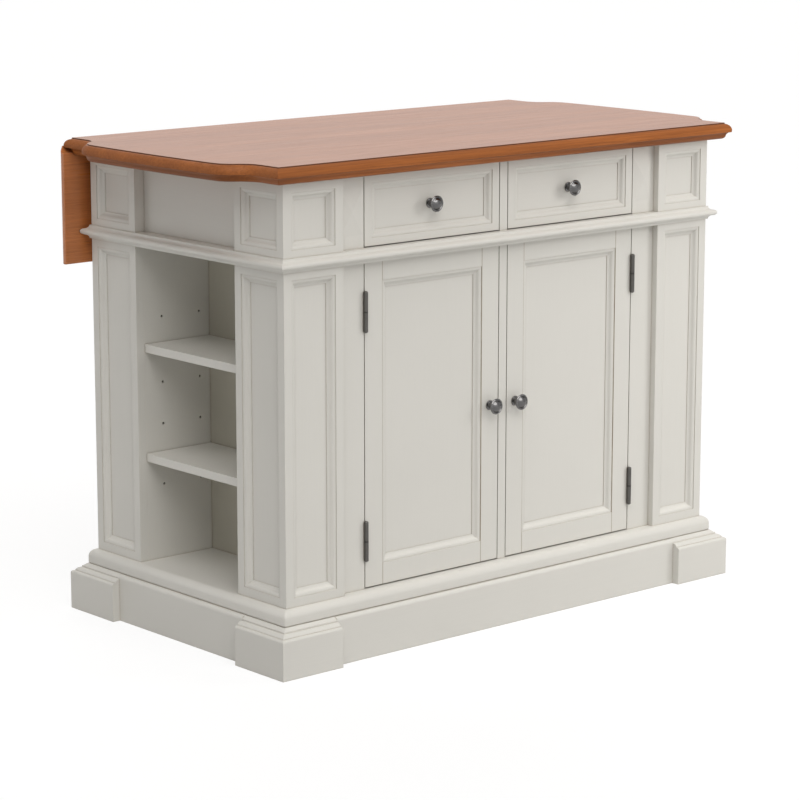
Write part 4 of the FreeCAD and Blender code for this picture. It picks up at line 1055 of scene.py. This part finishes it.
@dataclass(frozen=True)
class ScrewHead:
    """Countersunk screw head with a cross recess."""

    radius: float = 0.0032
    rise: float = 0.0007
    slot: float = 0.0008
    slot_reach: float = 0.62
    depth: float = 0.0006
    rings: int = 5
    sides: int = 40

    def place(self, name: str, spot: Vector, out: Vector, turn: float, body: str,
              material: bpy.types.Material) -> None:
        """Sets one screw head on a face.

        Args:
            name: Object name.
            spot: Middle of the head on the face.
            out: Direction out of the face.
            turn: Turn of the recess in degrees.
            body: The CAD body it moves with.
            material: Its finish.
        """
        shape = bmesh.new()
        rows = [self.row(shape, self.radius * (1 - ring / (self.rings + 1)))
                for ring in range(self.rings + 1)]
        for outer, inner in zip(rows, rows[1:]):
            bridge(shape, outer, inner)
        shape.faces.new(rows[-1])
        made = placed(name, finished(name, shape, material))
        made.matrix_world = (Matrix.Translation(spot) @ out.to_track_quat("Z", "Y").to_matrix().to_4x4()
                             @ Matrix.Rotation(math.radians(turn), 4, "Z"))
        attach(made, body)
        log.info("%s: %s", name, material.name)

    def row(self, shape: bmesh.types.BMesh, radius: float) -> Row:
        """Points of one circle on the head.

        Args:
            shape: The mesh in the making.
            radius: The circle's radius.

        Returns:
            The points in order.
        """
        turns = [2 * math.pi * side / self.sides for side in range(self.sides)]
        spots = [(radius * math.cos(turn), radius * math.sin(turn)) for turn in turns]
        return [shape.verts.new((x, y, self.height(x, y))) for x, y in spots]

    def height(self, x: float, y: float) -> float:
        """Height of the head over the face.

        Args:
            x: Offset from the middle.
            y: Offset from the middle.

        Returns:
            The height in metres.
        """
        share = min(1.0, math.hypot(x, y) / self.radius)
        dome = self.rise * (1 - share ** 2)
        in_cross = min(abs(x), abs(y)) < self.slot / 2 and share < self.slot_reach
        return dome - (self.depth if in_cross else 0.0)


@dataclass
class DropLeaf:
    """Hanging leaf with its hinges, folding stays and their screws.

    Each screw is turned on from the one before it, as screws driven by hand are.
    """

    palette: Palette
    screw: ScrewHead = ScrewHead()
    outer_hinge_inset: float = 0.018
    screw_side: float = 0.010
    screw_drops: tuple[float, float] = (0.030, 0.058)
    bracket_rise: float = 0.017
    bracket_plate: float = 0.002
    cabinet_inset: float = 0.022
    leaf_inset: float = 0.008
    hinge_screw_turn: float = 31.0
    cabinet_screw_turn: float = 47.0
    stay_screw_turn: float = 29.0

    def build(self) -> None:
        """Finishes the leaf and sets its screws."""
        dress(("drop_leaf",), self.palette.leaf)
        dress(("leaf_hinge_fixed_plates", "leaf_hinge_moving_plates", "leaf_hinge_pins",
               "stay_cabinet_brackets", "stay_leaf_brackets", "stay_cabinet_links", "stay_leaf_links"),
              self.palette.zinc)
        self.leaf_screws()
        self.bracket_screws()

    def leaf_screws(self) -> None:
        """Screws through the moving plates into the leaf."""
        low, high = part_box("leaf_hinge_moving_plates")
        leaf_low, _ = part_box("drop_leaf")
        reach = (high.x - low.x) / 2 - self.outer_hinge_inset
        sides = (-self.screw_side, self.screw_side)
        spots = product((-reach, 0.0, reach), sides, self.screw_drops)
        for number, (centre, side, drop) in enumerate(spots, start=1):
            spot = Vector((centre + side, leaf_low.y, high.z - drop))
            self.screw.place(f"leaf_screw_{number}", spot, Vector((0, -1, 0)),
                             self.hinge_screw_turn * number, "leaf", self.palette.screw)

    def bracket_screws(self) -> None:
        """Screws through the stay brackets."""
        low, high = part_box("stay_cabinet_brackets")
        _, leaf_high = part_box("stay_leaf_brackets")
        middle = (low.z + high.z) / 2
        spots = product((-1, 1), (-self.bracket_rise, self.bracket_rise))
        for number, (side, rise) in enumerate(spots, start=1):
            inner = Vector((side * (high.x - self.cabinet_inset), low.y + self.bracket_plate,
                            middle + rise))
            self.screw.place(f"stay_screw_{number}", inner, Vector((0, 1, 0)),
                             self.cabinet_screw_turn * number, "cabinet", self.palette.screw)
            outer = Vector((side * (leaf_high.x - self.leaf_inset), leaf_high.y - self.bracket_plate,
                            middle + rise))
            self.screw.place(f"leaf_stay_screw_{number}", outer, Vector((0, -1, 0)),
                             self.stay_screw_turn * number, "leaf", self.palette.screw)


@dataclass
class Doors:
    """Pair of inset doors with hinges and knobs."""

    palette: Palette
    stile: float = 0.042

    def build(self) -> None:
        """Finishes the doors, with a fine paint line along each stile's joint."""
        for side in ("left", "right"):
            low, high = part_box(f"door_{side}_frame")
            paint = Paint(f"door_paint_{side}", self.palette.white, Grain.Z,
                          seams=(low.x + self.stile, high.x - self.stile))
            dress((f"door_{side}_frame",), paint.material())
            dress((f"door_{side}_panel",), self.palette.paint[Grain.Z])
        dress(("door_hinge_frame_leaves", "door_left_hinge_leaves", "door_right_hinge_leaves",
               "door_hinge_pins"), self.palette.hinge)
        dress(("knob_door_left", "knob_door_right"), self.palette.knob)


@dataclass
class Drawers:
    """Pair of drawers with boxes, slides and knobs."""

    palette: Palette

    def build(self) -> None:
        """Finishes the drawers."""
        dress(("drawer_left_front", "drawer_right_front"), self.palette.paint[Grain.X])
        dress(("drawer_left_box", "drawer_right_box", "drawer_left_bottom", "drawer_right_bottom"),
              self.palette.drawer)
        dress(("drawer_slide_rails", "drawer_left_runners", "drawer_right_runners"), self.palette.zinc)
        dress(("knob_drawer_left", "knob_drawer_right"), self.palette.knob)


# ---------------------------------------------------------------- studio


def hang(light: bpy.types.Light, source: Vector, in_gloss: bool, place: Triple = ORIGIN) -> None:
    """Hangs a lamp.

    Args:
        light: The lamp's light, which gives its name.
        source: Direction from the island to the lamp.
        in_gloss: Whether glossy surfaces mirror it.
        place: Where it hangs, in metres.
    """
    lamp = placed(light.name, light)
    lamp.location = place
    lamp.rotation_mode = "QUATERNION"
    lamp.rotation_quaternion = source.to_track_quat("Z", "Y")
    lamp.visible_glossy = in_gloss
    log.info("lamp: %s", light.name)


@dataclass(frozen=True)
class Lamp:
    """Distant lamp of even light, as wide in the sky as its spread in degrees."""

    name: str
    strength: float
    spread: float
    source: Triple
    in_gloss: bool = True
    tint: Colour = WARM_WHITE

    def build(self) -> None:
        """Hangs the lamp."""
        light = bpy.data.lights.new(self.name, "SUN")
        light.energy = self.strength
        light.angle = math.radians(self.spread)
        light.color = self.tint
        hang(light, Vector(self.source), self.in_gloss)


@dataclass(frozen=True)
class Panel:
    """Square lamp at a place in the room, turned to a point, in watts and metres."""

    name: str
    power: float
    side: float
    place: Triple
    aim: Triple
    tint: Colour = WARM_WHITE

    def build(self) -> None:
        """Hangs the lamp, where glossy surfaces don't mirror it."""
        light = bpy.data.lights.new(self.name, "AREA")
        light.energy = self.power
        light.size = self.side
        light.color = self.tint
        hang(light, Vector(self.place) - Vector(self.aim), False, self.place)


@dataclass
class Studio:
    """White floor, even surroundings and broad lamps."""

    ambient: float = 0.04
    ambient_tint: Colour = (1.0, 0.99, 0.975)
    mirrored: float = 0.70
    floor_colour: Colour = (0.62, 0.62, 0.615)
    shadow_colour: Colour = (0.9, 0.9, 0.9)
    shadow_share: float = 0.26
    floor_glow: float = 1.07
    floor_mirrored: float = 0.6
    floor_reach: float = 60.0
    lamps: tuple[Union[Lamp, Panel], ...] = (
        Lamp("high_lamp", 2.08, 60.0, (-0.25, -0.45, 0.85)),
        Lamp("rear_lamp", 1.7, 60.0, (0.50, 0.85, 0.42), in_gloss=False),
        Lamp("front_lamp", 0.52, 80.0, (-0.30, -0.90, 0.30)),
        Lamp("rear_left_lamp", 0.34, 40.0, (-0.80, 0.50, 0.35)),
        Panel("side_panel", 32.0, 1.2, (2.2, -2.2, 1.6), (0.2, -0.3, 0.4)),
    )

    def build(self) -> None:
        """Makes the floor, the surroundings and the lamps."""
        self.floor()
        self.world()
        for lamp in self.lamps:
            lamp.build()

    def floor(self) -> None:
        """Floor that looks nearly white and keeps the island's shadow."""
        made, graph = blank("studio_floor")
        plain = graph.node("ShaderNodeBsdfDiffuse", None, {"Color": self.floor_colour})
        shadowed = graph.node("ShaderNodeBsdfDiffuse", None, {"Color": self.shadow_colour})
        glow = graph.node("ShaderNodeEmission", None, {"Color": WHITE, "Strength": self.floor_glow})
        seen = graph.node("ShaderNodeMixShader", None,
                          {0: self.shadow_share, 1: glow.outputs[0], 2: shadowed.outputs[0]})
        camera, glossy = graph.rays("Is Camera Ray", "Is Glossy Ray")
        picked = graph.node("ShaderNodeMixShader", None,
                            {0: camera + glossy * self.floor_mirrored, 1: plain.outputs[0],
                             2: seen.outputs[0]})
        graph.node("ShaderNodeOutputMaterial", None, {"Surface": picked.outputs[0]})
        reach = self.floor_reach
        mesh = bpy.data.meshes.new("studio_floor")
        corners = [(-reach, -reach, 0), (reach, -reach, 0), (reach, reach, 0), (-reach, reach, 0)]
        mesh.from_pydata(corners, [], [(0, 1, 2, 3)])
        mesh.materials.append(made)
        plane = placed("studio_floor", mesh)
        plane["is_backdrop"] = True
        log.info("floor")

    def world(self) -> None:
        """Even surroundings: white where seen or mirrored, dimmer as light."""
        world = bpy.data.worlds.new("studio")
        bpy.context.scene.world = world
        world.use_nodes = True
        graph = Graph(world.node_tree)
        lamp = graph.node("ShaderNodeBackground", None,
                          {"Color": self.ambient_tint, "Strength": self.ambient})
        white = graph.node("ShaderNodeBackground", None, {"Color": WHITE, "Strength": 1.0})
        camera, glossy, through = graph.rays("Is Camera Ray", "Is Glossy Ray", "Is Transmission Ray")
        seen = graph.math(Operation.ADD, camera + glossy * self.mirrored, through, clamp=True)
        picked = graph.node("ShaderNodeMixShader", None,
                            {0: seen, 1: lamp.outputs[0], 2: white.outputs[0]})
        graph.node("ShaderNodeOutputWorld", None, {"Surface": picked.outputs[0]})
        log.info("surroundings")


@dataclass
class Viewpoint:
    """Camera at the height and distance of the photograph: metres, degrees, and millimetres of lens."""

    place: Triple = (-3.63356, -4.15983, 1.50560)
    heading: float = 48.98229
    dip: float = 11.47554
    lens: float = 129.4227
    film_width: float = 36.0
    sight: float = 200.0

    def build(self) -> None:
        """Makes the camera."""
        data = bpy.data.cameras.new("view")
        data.lens = self.lens
        data.sensor_width = self.film_width
        data.clip_end = self.sight
        heading, dip = math.radians(self.heading), math.radians(self.dip)
        level = math.cos(dip)
        ahead = Vector((math.cos(heading) * level, math.sin(heading) * level, -math.sin(dip)))
        camera = placed("view", data)
        camera.location = self.place
        camera.rotation_mode = "QUATERNION"
        camera.rotation_quaternion = ahead.to_track_quat("-Z", "Y")
        bpy.context.scene.camera = camera
        log.info("camera")


def picture() -> None:
    """Sets the colour handling of the picture."""
    scene = bpy.context.scene
    scene.view_settings.view_transform = "Standard"
    scene.render.film_transparent = False


def main() -> None:
    """Builds the island's looks and the studio, in order."""
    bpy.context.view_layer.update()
    palette = Palette()
    parts = (Cabinetry(palette), BaseMoulding(palette), Worktop(palette), DropLeaf(palette),
             Doors(palette), Drawers(palette), Studio(), Viewpoint())
    for part in parts:
        part.build()
    picture()


if __name__ == "__main__":
    main()
